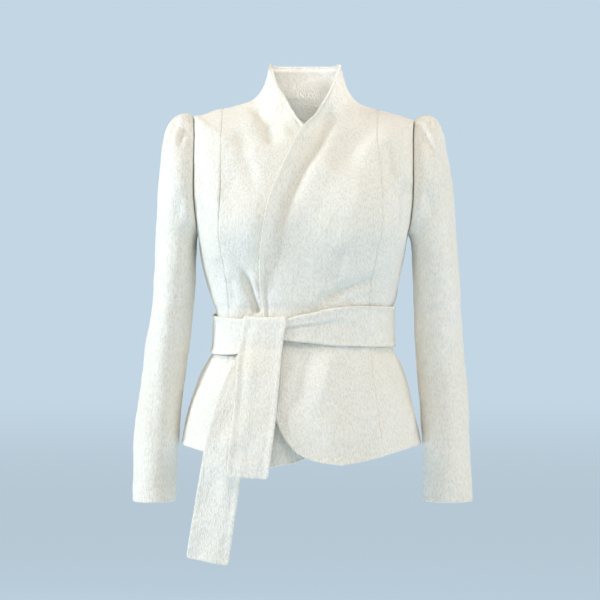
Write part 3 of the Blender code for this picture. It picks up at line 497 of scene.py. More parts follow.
def crease_lift(creases: tuple[Crease, ...], points: Array, front: Array) -> Array:
    """Works out how far creases lift the cloth.

    Args:
        creases: the troughs and ridges.
        points: places on the cloth.
        front: which of them are on the front.

    Returns:
        The lift at each place, in metres.
    """
    x, z = points[..., 0], points[..., 2]
    rise = np.zeros(x.shape)
    for crease in creases:
        count = CREASE_SAMPLES * (len(crease.points) - 1)
        line = smooth_rows(np.array(crease.points), np.linspace(0, len(crease.points) - 1, count))
        lengths = along(line)
        nearest = np.full(x.shape, np.inf)
        share = np.zeros(x.shape)
        side = np.zeros(x.shape)
        for number in range(count - 1):
            run = line[number + 1] - line[number]
            part = ((x - line[number, 0]) * run[0] + (z - line[number, 1]) * run[1]) / (run @ run)
            part = np.clip(part, 0.0, 1.0)
            off_x, off_z = x - line[number, 0] - part * run[0], z - line[number, 1] - part * run[1]
            off = np.hypot(off_x, off_z)
            closer = off < nearest
            nearest = np.where(closer, off, nearest)
            way = (off_x * run[1] - off_z * run[0]) / math.sqrt(run @ run)
            side = np.where(closer, way, side)
            place = (lengths[number] + part * (lengths[number + 1] - lengths[number])) / lengths[-1]
            share = np.where(closer, place, share)
        width = crease.width * (1 + crease.skew * np.tanh(side / crease.width))
        fade = smooth_step(share, 0.0, crease.ends[0]) * (1 - smooth_step(share, 1 - crease.ends[1], 1.0))
        shape = crease.depth * fade * hump(nearest, 0.0, width)
        rise += np.where(front == (crease.face is FRONT), shape, 0.0)
    return rise


@dataclass(frozen=True)
class Unevenness:
    """The slight waviness of felted cloth, as a sum of long waves through space."""

    seed: int = 11
    count: int = 26
    shortest: float = 0.022
    longest: float = 0.120
    height: float = 0.00042
    ways: tuple[float, float, float] = (1.0, 1.0, 0.8)  # how much each axis counts in a wave's direction
    fall: float = 0.8  # the power with which shorter waves get lower

    def lift(self, points: Array) -> Array:
        """The waviness at each point, in metres.

        Args:
            points: places on the cloth.

        Returns:
            The lift at each.
        """
        chance = np.random.default_rng(self.seed)
        total = np.zeros(points.shape[:-1])
        for _ in range(self.count):
            way = unit(chance.normal(size=3) * self.ways)
            length = self.shortest * (self.longest / self.shortest) ** chance.random()
            phase = chance.random() * 2 * math.pi
            wave = np.sin(points @ way * 2 * math.pi / length + phase)
            total += (length / self.longest) ** self.fall * wave
        return self.height * total


# -------------------------------------------------------- the body's surface
@dataclass(frozen=True)
class Figure:
    """The surface that the body cloth follows."""

    rings: tuple[Ring, ...] = RINGS
    mounds: tuple[Mound, ...] = BUST
    creases: tuple[Crease, ...] = BODY_CREASES
    uneven: Unevenness = field(default_factory=Unevenness)

    def ring(self, level: Array) -> Array:
        """The ring's numbers at any level."""
        return smooth_rows(np.array([ring[1:] for ring in self.rings]), level, RING_STEEPEST)

    def at(self, angle: Array, level: Array) -> Array:
        """Points of the smooth figure.

        Args:
            angle: angles round the figure.
            level: levels.

        Returns:
            A point for each.
        """
        z_side, z_front, z_back, x_middle, half_width, y_front, y_back, square, lean, droop = np.moveaxis(
            self.ring(level), -1, 0
        )
        across, out = np.cos(angle), np.sin(angle)
        x = x_middle + half_width * np.sign(across) * np.abs(across) ** (2 / square)
        y = np.where(out >= 0, y_front, y_back) * np.abs(out) ** (2 / square)
        z = z_side + (np.where(out >= 0, z_front, z_back) - z_side) * np.abs(out) ** droop - lean * x
        return np.stack([x, y, z], axis=-1)

    def normal(self, angle: Array, level: Array) -> Array:
        """The figure's outward direction.

        Args:
            angle: angles round the figure.
            level: levels.

        Returns:
            A direction of length one for each.
        """
        step = 1e-3  # of an angle and of a level
        level = np.clip(level, step, TOP_LEVEL - step)
        round_it = self.at(angle + step, level) - self.at(angle - step, level)
        up = self.at(angle, level + step) - self.at(angle, level - step)
        return unit(np.cross(up, round_it))

    def cloth_lift(self, angle: Array, level: Array) -> Array:
        """How far the mounds, creases and waviness lift the body cloth off the figure.

        Args:
            angle: angles round the figure.
            level: levels.

        Returns:
            The lift at each.
        """
        points = self.at(angle, level)
        front = np.sin(angle) >= 0
        rise = crease_lift(self.creases, points, front) + self.uneven.lift(points)
        for mound in self.mounds:
            away = ((points[..., 0] - mound.x) ** 2 + (points[..., 2] - mound.z) ** 2) / mound.radius**2
            rise += np.where(front, mound.height * np.exp(-away), 0.0)
        return rise

    def off(self, angle: Array, level: Array, lift: Array) -> Array:
        """Points lifted off the smooth figure."""
        return self.at(angle, level) + self.normal(angle, level) * np.asarray(lift)[..., None]

    def angle_at(self, x: Array, level: Array, face: Face = FRONT) -> Array:
        """The angle at which a level passes x, on the front or on the back.

        Args:
            x: places across.
            level: levels.
            face: front or back.

        Returns:
            The angles.
        """
        ring = self.ring(level)
        share = np.clip((x - ring[..., X_MIDDLE]) / ring[..., HALF_WIDTH], -1.0, 1.0)
        turn = np.arccos(np.sign(share) * np.abs(share) ** (ring[..., SQUARE] / 2))
        return turn if face is FRONT else -turn

    def seen_at(self, x: Array, z: Array, face: Face = FRONT) -> tuple[Array, Array]:
        """The angle and the level of the figure that is seen at x and z.

        Args:
            x: places across.
            z: heights.
            face: front or back.

        Returns:
            The angles and the levels.
        """
        def lies_above(level: Array) -> Array:
            """Whether the place lies above a level."""
            return self.at(self.angle_at(x, level, face), level)[..., 2] < z

        level = search(lies_above, np.zeros(np.shape(x)), np.full(np.shape(x), TOP_LEVEL))
        return self.angle_at(x, level, face), level

    def level_at(self, angle: Array, z: Array) -> Array:
        """The level at which a place round the body has the height z.

        Args:
            angle: angles round the figure.
            z: heights.

        Returns:
            The levels.
        """
        angle, z = np.broadcast_arrays(np.asarray(angle, float), np.asarray(z, float))
        return search(lambda level: self.at(angle, level)[..., 2] < z,
                      np.zeros(z.shape), np.full(z.shape, TOP_LEVEL))


# -------------------------------------------------------- seams, as rows of (angle, level)
@dataclass(frozen=True)
class Pattern:
    """The seams and free edges of the body's panels, each as rows of (angle, level)."""

    figure: Figure

    def line(self, places: list[Place], face: Face = FRONT) -> Array:
        """A smooth line through places seen from the front or back."""
        fine = smooth_rows(np.array(places), np.linspace(0, len(places) - 1, LINE_SAMPLES))
        return np.stack(self.figure.seen_at(fine[:, 0], fine[:, 1], face), axis=1)

    def cut(self, spots: Array, heights: list[tuple[float, int]], rows_to_end: int) -> Array:
        """Cuts a rising line at heights.

        Args:
            spots: the fine line.
            heights: each height that it passes, with the rows up to it.
            rows_to_end: the rows from the last height to its end.

        Returns:
            The line's spots, one for each row.
        """
        points = self.figure.at(spots[:, 0], spots[:, 1])
        lengths = along(points)
        stops = [0.0] + [float(lengths[np.argmax(points[:, 2] >= z)]) for z, _ in heights] + [lengths[-1]]
        rows = [count for _, count in heights] + [rows_to_end]
        wanted = [np.zeros(1)]
        for start, end, count in zip(stops, stops[1:], rows):
            wanted.append(np.linspace(start, end, count + 1)[1:])
        wanted = np.concatenate(wanted)
        return np.stack([np.interp(wanted, lengths, column) for column in spots.T], axis=1)

    def side_angle(self, side: Side, face: Face) -> float:
        """The angle of the side seam, as the front or the back reaches it."""
        turn = 0.0 if side is Side.LEFT else math.pi
        return turn if face is FRONT else -turn

    def shoulder_level(self, side: Side) -> float:
        """The level at which the shoulder seam passes the princess seams.

        Args:
            side: the wearer's side.

        Returns:
            The level.
        """
        def lies_above(level: Array) -> Array:
            """Whether a level's ring still reaches past the seam's top."""
            ring = self.figure.ring(level)
            return abs(ring[X_MIDDLE] + side.value * ring[HALF_WIDTH]) > PRINCESS_TOP_X[side]

        return float(search(lies_above, np.array(float(LEVEL["shoulder tip"])), np.array(TOP_LEVEL)))

    def over_shoulder(self, start: Array, side: Side, face: Face) -> Array:
        """The last of a princess seam, at an even x up to the shoulder seam.

        Args:
            start: the angle and the level where it starts.
            side: the wearer's side.
            face: front or back.

        Returns:
            Its rows, from below.
        """
        end = np.array([self.side_angle(side, face), self.shoulder_level(side)])
        share = smooth_step(np.linspace(0, 1, SHOULDER_SAMPLES), 0.0, 1.0)[1:]
        angle = start[0] + (end[0] - start[0]) * share
        start_x = self.figure.at(*start)[0]
        reach = side.value * PRINCESS_TOP_X[side] - start_x
        wanted = np.abs(start_x + reach * np.linspace(0, 1, SHOULDER_SAMPLES)[1:])
        half_below = np.full(angle.shape, start[1] - 0.5)  # the seam dips by less than half a level
        level = search(lambda level: np.abs(self.figure.at(angle, level)[..., 0]) > wanted,
                       half_below, np.full(angle.shape, TOP_LEVEL))
        level[-1] = end[1]
        return np.stack([angle, level], axis=1)

    def princess(self, side: Side, face: Face) -> Array:
        """A princess seam from the hem to the shoulder seam.

        Args:
            side: the wearer's side.
            face: front or back.

        Returns:
            Its rows, from below.
        """
        places = PRINCESS_FRONT[side] if face is FRONT else PRINCESS_BACK
        spots = self.line([Place(side.value * place.x, place.z) for place in places], face)
        spots = np.concatenate([spots, self.over_shoulder(spots[-1], side, face)])
        spots[0, 1] = 0.0
        heights = [(RINGS[LEVEL[name]].z_side, rows) for name, rows in BODY_MARKS]
        return self.cut(spots, heights, ARMHOLE_ROWS)

    def armhole(self, side: Side, face: Face, rows: int = ARMHOLE_ROWS) -> Array:
        """Half an armhole, from the underarm to the shoulder tip.

        Args:
            side: the wearer's side.
            face: front or back.
            rows: how many even steps it is cut in.

        Returns:
            Its rows, from below.
        """
        phase = np.linspace(0, math.pi, LINE_SAMPLES)
        turn = ARMHOLE_TURN * np.sin(phase)
        angle = turn if side is Side.LEFT else math.pi - turn
        angle = angle if face is FRONT else -angle
        underarm, tip = LEVEL["underarm"], LEVEL["shoulder tip"]
        spots = np.stack([angle, underarm + (tip - underarm) * (1 - np.cos(phase)) / 2], axis=1)
        return self.cut(spots, [], rows)

    def side_seam(self, side: Side, face: Face) -> Array:
        """The side seam from the hem to the underarm.

        Args:
            side: the wearer's side.
            face: front or back.

        Returns:
            Its rows, from below.
        """
        turn = self.side_angle(side, face)
        heights = [RINGS[0].z_side]
        for name, rows in BODY_MARKS:
            heights.extend(np.linspace(heights[-1], RINGS[LEVEL[name]].z_side, rows + 1)[1:])
        level = self.figure.level_at(turn, np.array(heights))
        level[0], level[-1] = 0.0, LEVEL["underarm"]
        return np.stack([np.full(len(level), turn), level], axis=1)

    def shoulder_and_collar(self, side: Side, face: Face) -> Array:
        """From the princess seam's top along the shoulder and up the collar's side.

        Args:
            side: the wearer's side.
            face: front or back.

        Returns:
            Its rows, from below.
        """
        start, neck = self.shoulder_level(side), float(LEVEL["neck"])
        level = np.concatenate(
            [np.linspace(start, neck, SHOULDER_ROWS + 1), np.linspace(neck, TOP_LEVEL, COLLAR_ROWS + 1)[1:]]
        )
        return np.stack([np.full(len(level), self.side_angle(side, face)), level], axis=1)

    def front_edge(self, side: Side) -> Array:
        """A front's free edge, with as many rows as the seam that the front is sewn to.

        Args:
            side: the wearer's side.

        Returns:
            Its rows, from below.
        """
        mirrored = [Place(2 * COLLAR_X_MIDDLE - place.x, place.z) for place in LEFT_EDGE]
        spots = self.line(list(LEFT_EDGE) if side is Side.LEFT else mirrored)
        corner = COLLAR_CORNER_TURN if side is Side.LEFT else math.pi - COLLAR_CORNER_TURN
        spots = np.concatenate([spots[:-1], [[corner, TOP_LEVEL]]])
        spots[0, 1] = 0.0
        heights = [(RINGS[LEVEL[name]].z_front, rows) for name, rows in BODY_MARKS]
        heights += [(EDGE_BY_SHOULDER_Z, ARMHOLE_ROWS), (EDGE_BY_NECK_Z, SHOULDER_ROWS)]
        return self.cut(spots, heights, COLLAR_ROWS)


# -------------------------------------------------------- cloth shells
def put(name: str, data: bpy.types.ID) -> bpy.types.Object:
    """Puts a mesh, a light or a camera in the scene.

    Args:
        name: the object's name.
        data: what it shows.

    Returns:
        The object.
    """
    item = bpy.data.objects.new(name, data)
    bpy.context.scene.collection.objects.link(item)
    return item


class Rims(NamedTuple):
    """The four borders of a piece of cloth."""

    first: Rim = Rim.SEWN
    last: Rim = Rim.SEWN
    bottom: Rim = Rim.FREE
    top: Rim = Rim.SEWN


@dataclass(frozen=True)
class Cloth:
    """The cloth of one kind of piece, and how it is turned into shells."""

    wall: float = 0.0022
    step: float = 0.0032
    edge_steps: tuple[float, ...] = (0.0, 0.0006, 0.0013, 0.0021, 0.0031, 0.0044, 0.0062)
    free_inset: float = 0.0028
    bead_height: float = 0.0026  # the rolled edge stands this far above the cloth
    bead_inside: float = 0.0012  # and this far below its inner face
    bead_at: float = 0.0036
    bead_width: float = 0.0032
    ditch_depth: float = 0.0022  # the cloth sinks this much beside the rolled edge
    ditch_at: float = 0.0100
    ditch_width: float = 0.0030
    seam_depth: float = 0.0013
    seam_width: float = 0.0014
    turning_depth: float = 0.0008  # a turned hem or facing thickens the inside
    turning_edge: tuple[float, float] = (-0.001, 0.003)  # where it thins out, about its width
    arc: tuple[float, ...] = (30.0, 60.0, 90.0, 120.0, 150.0)  # degrees round a border
    end_arc: tuple[float, ...] = (35.0, 65.0, 84.0)

    def places(self, length: Array, first: Rim, last: Rim, count: int) -> Array:
        """Places along a length, close together by both ends.

        Args:
            length: one length for each row.
            first: the rim at the start.
            last: the rim at the end.
            count: how many even places go between the close ones.

        Returns:
            For each row, the places along it, in metres.
        """
        close = np.array(self.edge_steps)
        start = close + (self.free_inset if first is Rim.FREE else 0.0)
        end = close + (self.free_inset if last is Rim.FREE else 0.0)
        length = np.asarray(length, float)[..., None]
        share = np.linspace(0, 1, count + 2)[1:-1]
        middle = start[-1] + (length - end[-1] - start[-1]) * share
        ones = np.ones_like(length)
        return np.concatenate([start * ones, middle, length - end[::-1] * ones], axis=-1)

    def edge_lift(self, away: Array, rim: Rim) -> Array:
        """How a border shapes the cloth near it: a rolled bead, or a seam sunk in its ditch.

        Args:
            away: distances from the border.
            rim: how it ends.

        Returns:
            The lift at each.
        """
        if rim is Rim.SEWN:
            return -self.seam_depth * hump(away, 0.0, self.seam_width)
        bead = self.bead_height * hump(away, self.bead_at, self.bead_width)
        return bead - self.ditch_depth * hump(away, self.ditch_at, self.ditch_width)

    def draw_round(self, aside: Array, below: Array, radius: float
                   ) -> tuple[Array, Array, Array]:
        """Draws the corner between two free borders round.

        Args:
            aside: the distances from one border.
            below: the distances from the other.
            radius: the radius of the corner.

        Returns:
            Both distances for the same points of a rounded corner, and how far those are from its edge.
        """
        across = np.clip(1 - aside / radius, 0.0, 1.0)
        up = np.clip(1 - below / radius, 0.0, 1.0)
        new_across, new_up = across * np.sqrt(1 - up**2 / 2), up * np.sqrt(1 - across**2 / 2)
        in_corner = (across > 0) & (up > 0)
        aside = np.where(in_corner, radius * (1 - new_across), aside)
        below = np.where(in_corner, radius * (1 - new_up), below)
        nearest = np.where(in_corner, radius * (1 - np.hypot(new_across, new_up)), np.minimum(aside, below))
        return aside, below, nearest

    def turning(self, away: Array, rim: Rim, width: float) -> Array:
        """How much thicker the cloth is inside, where a hem or facing of that width is turned in.

        Args:
            away: distances from the border.
            rim: how it ends.
            width: the turning's width.

        Returns:
            What is added to the wall at each.
        """
        if rim is Rim.SEWN:
            return np.zeros(away.shape)
        turned = self.turning_depth * (1 - smooth_step(away, *(width + part for part in self.turning_edge)))
        return turned + self.bead_inside * hump(away, self.bead_at, self.bead_width)

    def rounded(self, outer: Array, inner: Array, outward: Array, rim: Rim,
                arc: tuple[float, ...]) -> tuple[Array, Array]:
        """Rounds a border from the outer face to the inner one.

        Args:
            outer: the border's points on the outer face.
            inner: and on the inner face.
            outward: the direction off the border, in the cloth.
            rim: how it ends.
            arc: degrees from the outer face.

        Returns:
            The points of the rounding and their feet on the middle of the cloth, each as border by arc.
        """
        middle, half = (outer + inner) / 2, (outer - inner) / 2
        reach = np.linalg.norm(half, axis=-1, keepdims=True) * rim.value * outward
        turn = np.radians(arc)[None, :, None]
        feet = middle[:, None] + reach[:, None] * np.sin(turn)
        return feet + half[:, None] * np.cos(turn), feet

    def panel(self, name: str, outer: Array, inner: Array, rims: Rims) -> bpy.types.Object:
        """Makes a closed thin shell between two grids of points.

        Args:
            name: the piece's name.
            outer: the outer face, rows by columns.
            inner: the inner face.
            rims: how each border ends.

        Returns:
            The piece.
        """
        columns = outer.shape[1]
        off_last = unit(outer[:, -1] - outer[:, -2])
        off_first = unit(outer[:, 0] - outer[:, 1])
        last, last_feet = self.rounded(outer[:, -1], inner[:, -1], off_last, rims.last, self.arc)
        first, first_feet = self.rounded(outer[:, 0], inner[:, 0], off_first, rims.first, self.arc)
        middle = (outer + inner) / 2
        loops = np.concatenate([outer, last, inner[:, ::-1], first[:, ::-1]], axis=1)
        feet = np.concatenate([middle, last_feet, middle[:, ::-1], first_feet[:, ::-1]], axis=1)
        steps = len(self.arc)
        owner = np.concatenate([np.arange(columns), np.full(steps, columns - 1),
                                np.arange(columns)[::-1], np.zeros(steps, int)])
        rings = [loops]
        for row, beyond, rim, before in ((0, 1, rims.bottom, True), (-1, -2, rims.top, False)):
            off = unit(outer[row] - outer[beyond])[owner]
            half = np.linalg.norm(outer[row] - inner[row], axis=-1)[owner][:, None] / 2 * rim.value
            ends = [feet[row] + (loops[row] - feet[row]) * math.cos(turn) + off * half * math.sin(turn)
                    for turn in np.radians(self.end_arc)]
            rings = [np.array(ends[::-1]), *rings] if before else [*rings, np.array(ends)]
        points = np.concatenate(rings)
        height, size = points.shape[:2]
        number = np.arange(height * size).reshape(height, size)
        after = np.roll(number, -1, axis=1)
        faces = np.stack([number[:-1], after[:-1], after[1:], number[1:]], axis=-1).reshape(-1, 4).tolist()
        opposite = columns + steps + columns - 1
        for base in (0, (height - 1) * size):
            for j in range(columns - 1):
                faces.append([base + j, base + j + 1, base + opposite - j - 1, base + opposite - j])
            faces.append([base + j for j in range(columns - 1, columns + steps + 1)])
            faces.append([base + j for j in range(opposite, size)] + [base])
        return self.make(name, points.reshape(-1, 3), faces)

    def tube(self, name: str, outer: Array, inner: Array, rims: Rims) -> bpy.types.Object:
        """Makes a closed thin shell whose columns run all round, with its two ends open.

        Args:
            name: the piece's name.
            outer: the outer face, rows by columns.
            inner: the inner face.
            rims: how its first row (top) and its last one (bottom) end.

        Returns:
            The piece.
        """
        top, _ = self.rounded(outer[0], inner[0], unit(outer[0] - outer[1]), rims.top, self.arc)
        bottom, _ = self.rounded(outer[-1], inner[-1], unit(outer[-1] - outer[-2]), rims.bottom, self.arc)
        points = np.concatenate(
            [outer, bottom.swapaxes(0, 1), inner[::-1], top.swapaxes(0, 1)[::-1]], axis=0
        )
        number = np.arange(points.shape[0] * points.shape[1]).reshape(points.shape[:2])
        down, beside = np.roll(number, -1, axis=0), np.roll(number, -1, axis=1)
        corner = np.roll(down, -1, axis=1)
        faces = np.stack([number, down, corner, beside], axis=-1).reshape(-1, 4).tolist()
        return self.make(name, points.reshape(-1, 3), faces)

    def make(self, name: str, points: Array, faces: list[list[int]]) -> bpy.types.Object:
        """Puts a mesh in the scene, smooth and facing out.

        Args:
            name: the piece's name.
            points: its corners.
            faces: the corners of each face, by number.

        Returns:
            The piece.
        """
        mesh = bpy.data.meshes.new(name)
        mesh.from_pydata(points.tolist(), [], faces)
        shape = bmesh.new()
        shape.from_mesh(mesh)
        bmesh.ops.recalc_face_normals(shape, faces=shape.faces)
        shape.to_mesh(mesh)
        shape.free()
        mesh.shade_smooth()
        return put(name, mesh)


def grid_normals(grid: Array, closed: bool = False) -> Array:
    """Directions off a grid of points, whose columns may run all round."""
    over_columns = np.roll(grid, -1, 1) - np.roll(grid, 1, 1) if closed else np.gradient(grid, axis=1)
    return unit(np.cross(np.gradient(grid, axis=0), over_columns))


# -------------------------------------------------------- finishes
def set_inputs(node: bpy.types.Node, values: dict[str, float | tuple[float, ...]]) -> bpy.types.Node:
    """Sets sockets of a node to constants.

    Args:
        node: the node.
        values: a constant for each socket, by the socket's name.

    Returns:
        The node.
    """
    for name, value in values.items():
        node.inputs[name].default_value = value
    return node


class Noise(NamedTuple):
    """One noise in the wool."""

    scale: float
    distortion: float
    detail: float = 2.0


class Blend(NamedTuple):
    """Two colours, and the values of a noise at which each is full."""

    low: float
    low_colour: Colour
    high: float
    high_colour: Colour


@dataclass(frozen=True)
class WoolFinish:
    """Ivory felted wool with a crepe grain that runs up and down."""

    grain: Noise = Noise(540.0, 0.4)
    fuzz: Noise = Noise(1500.0, 0.2)
    clouds: Noise = Noise(9.0, 0.3)
    grain_colours: Blend = Blend(0.34, (0.812, 0.776, 0.698), 0.56, (0.940, 0.914, 0.852))
    cloud_tints: Blend = Blend(0.30, (0.965, 0.955, 0.925), 0.70, (1.0, 1.0, 1.0))
    grain_stretch: float = 0.30  # below 1 draws the grain out lengthwise
    grain_depth: float = 0.00170
    grain_strength: float = 1.0
    fuzz_depth: float = 0.00018
    fuzz_strength: float = 0.6
    roughness: float = 0.92
    specular: float = 0.25
    sheen: float = 0.22
    sheen_roughness: float = 0.55
    sheen_tint: Colour = (1.0, 0.985, 0.95)
    shift_way: tuple[float, float, float] = (1.0, 0.7, 1.3)  # the direction in which the grain is moved

    def material(self, name: str, shift: float) -> bpy.types.Material:
        """Makes the finish for one piece.

        Args:
            name: the record's material slot.
            shift: moves the grain, in metres, so that it doesn't run on across a seam.

        Returns:
            The material.
        """
        material = bpy.data.materials.new(name)
        material.use_nodes = True
        nodes, links = material.node_tree.nodes, material.node_tree.links
        shader = set_inputs(nodes["Principled BSDF"], {
            "Roughness": self.roughness, "Specular IOR Level": self.specular, "Sheen Weight": self.sheen,
            "Sheen Roughness": self.sheen_roughness, "Sheen Tint": (*self.sheen_tint, 1.0),
        })
        place = nodes.new("ShaderNodeTexCoord").outputs["Object"]
        mapping = set_inputs(nodes.new("ShaderNodeMapping"), {
            "Location": tuple(shift * part for part in self.shift_way),
            "Scale": (1.0, 1.0, self.grain_stretch),
        })
        links.new(place, mapping.inputs["Vector"])

        def noise(look: Noise, source: bpy.types.NodeSocket) -> bpy.types.NodeSocket:
            """Adds a noise.

            Args:
                look: its sizes.
                source: the place in the cloth at which it is read.

            Returns:
                Its value.
            """
            node = set_inputs(nodes.new("ShaderNodeTexNoise"), {
                "Scale": look.scale, "Detail": look.detail, "Distortion": look.distortion})
            links.new(source, node.inputs["Vector"])
            return node.outputs["Fac"]

        def coloured(value: bpy.types.NodeSocket, blend: Blend) -> bpy.types.NodeSocket:
            """Turns a noise into colours.

            Args:
                value: the noise's value.
                blend: the colours.

            Returns:
                The colour.
            """
            ramp = nodes.new("ShaderNodeValToRGB")
            low, high = ramp.color_ramp.elements
            low.position, low.color = blend.low, (*blend.low_colour, 1.0)
            high.position, high.color = blend.high, (*blend.high_colour, 1.0)
            links.new(value, ramp.inputs["Fac"])
            return ramp.outputs["Color"]

        def bump(value: bpy.types.NodeSocket, strength: float, depth: float) -> bpy.types.Node:
            """Adds fine relief.

            Args:
                value: its height.
                strength: how much of it shows.
                depth: the height of a value of one, in metres.

            Returns:
                The node.
            """
            node = set_inputs(nodes.new("ShaderNodeBump"), {"Strength": strength, "Distance": depth})
            links.new(value, node.inputs["Height"])
            return node

        grain = noise(self.grain, mapping.outputs["Vector"])
        mix = nodes.new("ShaderNodeMix")
        mix.data_type = "RGBA"
        mix.blend_type = "MULTIPLY"
        mix.inputs["Factor"].default_value = 1.0
        links.new(coloured(grain, self.grain_colours), mix.inputs["A"])
        links.new(coloured(noise(self.clouds, place), self.cloud_tints), mix.inputs["B"])
        links.new(mix.outputs["Result"], shader.inputs["Base Color"])
        fuzz_bump = bump(noise(self.fuzz, place), self.fuzz_strength, self.fuzz_depth)
        grain_bump = bump(grain, self.grain_strength, self.grain_depth)
        links.new(fuzz_bump.outputs["Normal"], grain_bump.inputs["Normal"])
        links.new(grain_bump.outputs["Normal"], shader.inputs["Normal"])
        return material


class Cut(NamedTuple):
    """What of a piece shows, laid flat, and what it is sewn to or lies on."""

    width: float
    length: float
    area: float
    rests_on: tuple[str, ...]


@dataclass
class Workroom:
    """Dresses each piece that the sub-assemblies make, ties it to the body and hides the solid that it stands
    for.
    """

    finish: WoolFinish = field(default_factory=WoolFinish)
    grain_shift: float = 0.013  # metres from one piece's grain to the next one's
    made: list[str] = field(default_factory=list)

    def take(self, piece: bpy.types.Object, node: str) -> None:
        """Args:
            piece: the finished mesh.
            node: the solid that it stands for.
        """
        slot = f"{node}_wool"
        piece.data.materials.append(self.finish.material(slot, self.grain_shift * len(self.made)))
        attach(piece, BODY)
        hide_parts(node)
        self.made.append(piece.name)
        LOG.info("%s: %d faces", piece.name, len(piece.data.polygons))


# -------------------------------------------------------- sub-assemblies
@dataclass
class Bodice:
    """The two fronts, two side fronts, the back and two side backs."""

    figure: Figure
    pattern: Pattern
    cloth: Cloth = field(default_factory=Cloth)
    facing_width: float = 0.058
    hem_width: float = 0.032
    collar_corner: float = 0.0140
    hem_bead: float = 0.12  # the share of the rolled bead that is left below the belt
    hem_bead_z: tuple[float, float] = (-0.440, -0.350)
    lapel_roll: float = 0.0055  # the left front's free edge stands this far up from the belt to the collar
    lapel_roll_width: float = 0.0125
    lapel_roll_z: tuple[float, float, float, float] = (-0.335, -0.250, -0.040, 0.010)

    def lap_sink(self, angle: Array, level: Array) -> Array:
        """How deep the right front lies under the left front, more so where it hangs free by the hem.

        Args:
            angle: angles round the figure.
            level: levels.

        Returns:
            The depth at each.
        """
        z = self.figure.at(angle, level)[..., 2]
        fall = LAP_FALL * (1 - smooth_step(z, LAP_FALL_Z[1], LAP_FALL_Z[0]))
        return (LAP_DEPTH + fall) * smooth_step(math.pi - angle, *LAP_TURN)

    def rolled_lapel(self, away: Array, z: Array) -> Array:
        """How far the left front's edge rolls up, at distances from it and heights.

        Args:
            away: distances from the edge.
            z: heights.

        Returns:
            The lift at each.
        """
        low, low_full, high_full, high = self.lapel_roll_z
        along_it = smooth_step(z, low, low_full) * (1 - smooth_step(z, high_full, high))
        return self.lapel_roll * along_it * hump(away, 0.0, self.lapel_roll_width)

    def panel(self, name: str, first: Array, last: Array, rims: Rims, laps_under: bool = False
              ) -> bpy.types.Object:
        """Makes one panel between two of its borders.

        Args:
            name: the piece's name.
            first: its first border, from the hem up, as rows of (angle, level).
            last: its last border, with as many rows.
            rims: how each of its borders ends.
            laps_under: whether it sinks under the other front.

        Returns:
            The piece.
        """
        share = np.linspace(0, 1, WIDTH_SAMPLES)[None, :, None]
        coarse = first[:, None] * (1 - share) + last[:, None] * share
        points = self.figure.at(coarse[..., 0], coarse[..., 1])
        marks = along(points).mean(axis=1)
        widths = along(points.swapaxes(0, 1))[-1]
        height = float(marks[-1])
        rows = self.cloth.places(height, rims.bottom, rims.top, round(height / self.cloth.step))
        width = np.interp(rows, marks, widths)
        count = round(float(widths.mean()) / self.cloth.step)
        aside = self.cloth.places(width, rims.first, rims.last, count)
        below = np.broadcast_to(height - rows[:, None], aside.shape)
        nearest = np.full(aside.shape, np.inf)
        if rims.first is Rim.FREE:
            nearest = aside
            if rims.top is Rim.FREE:
                aside, below, nearest = self.cloth.draw_round(aside, below, self.collar_corner)
        elif rims.top is Rim.FREE:
            nearest = below
        rows = height - below
        width = np.interp(rows, marks, widths)
        nearest = np.minimum(nearest, rows) if rims.bottom is Rim.FREE else nearest
        share = (aside / width)[..., None]
        first, last = (np.stack([np.interp(rows, marks, column) for column in border.T], axis=-1)
                       for border in (first, last))
        spots = first * (1 - share) + last * share
        angle, level = spots[..., 0], spots[..., 1]
        z = self.figure.at(angle, level)[..., 2]
        beaded = self.hem_bead + (1 - self.hem_bead) * smooth_step(z, *self.hem_bead_z)
        lift = self.figure.cloth_lift(angle, level) + beaded * self.cloth.edge_lift(nearest, Rim.FREE)
        if rims.first is Rim.FREE and not laps_under:
            lift += self.rolled_lapel(aside, z)
        turned = np.zeros(angle.shape)
        for rim, away, turn_in in (
            (rims.first, aside, self.facing_width),
            (rims.last, width - aside, self.facing_width),
            (rims.bottom, rows, self.hem_width),
            (rims.top, below, self.facing_width),
        ):
            if rim is Rim.SEWN:
                lift += self.cloth.edge_lift(away, rim)
            turned = np.maximum(turned, self.cloth.turning(away, rim, turn_in))
        if laps_under:
            lift -= self.lap_sink(angle, level)
        normals = self.figure.normal(angle, level)
        outer = self.figure.at(angle, level) + normals * lift[..., None]
        inner = outer - normals * (self.cloth.wall + turned)[..., None]
        return self.cloth.panel(name, outer, inner, rims)

    def build(self, room: Workroom) -> None:
        """Makes and dresses every panel.

        Args:
            room: where pieces are dressed.
        """
        backs = {}
        for side in Side:
            front_seam = self.pattern.princess(side, FRONT)
            back_seam = self.pattern.princess(side, BACK)
            outline = np.concatenate([front_seam, self.pattern.shoulder_and_collar(side, FRONT)[1:]])
            node = f"{side.word}_front"
            rims = Rims(first=Rim.FREE, top=Rim.FREE)
            room.take(self.panel(node + "_cloth", self.pattern.front_edge(side), outline, rims,
                                 side is Side.RIGHT), node)
            for face, seam in ((FRONT, front_seam), (BACK, back_seam)):
                border = np.concatenate(
                    [self.pattern.side_seam(side, face), self.pattern.armhole(side, face)[1:]]
                )
                node = f"{side.word}_side_{face.value}"
                room.take(self.panel(node + "_cloth", seam, border, Rims()), node)
            backs[side] = np.concatenate([back_seam, self.pattern.shoulder_and_collar(side, BACK)[1:]])
        rims = Rims(top=Rim.FREE)
        room.take(self.panel("back_cloth", backs[Side.LEFT], backs[Side.RIGHT], rims), "back")


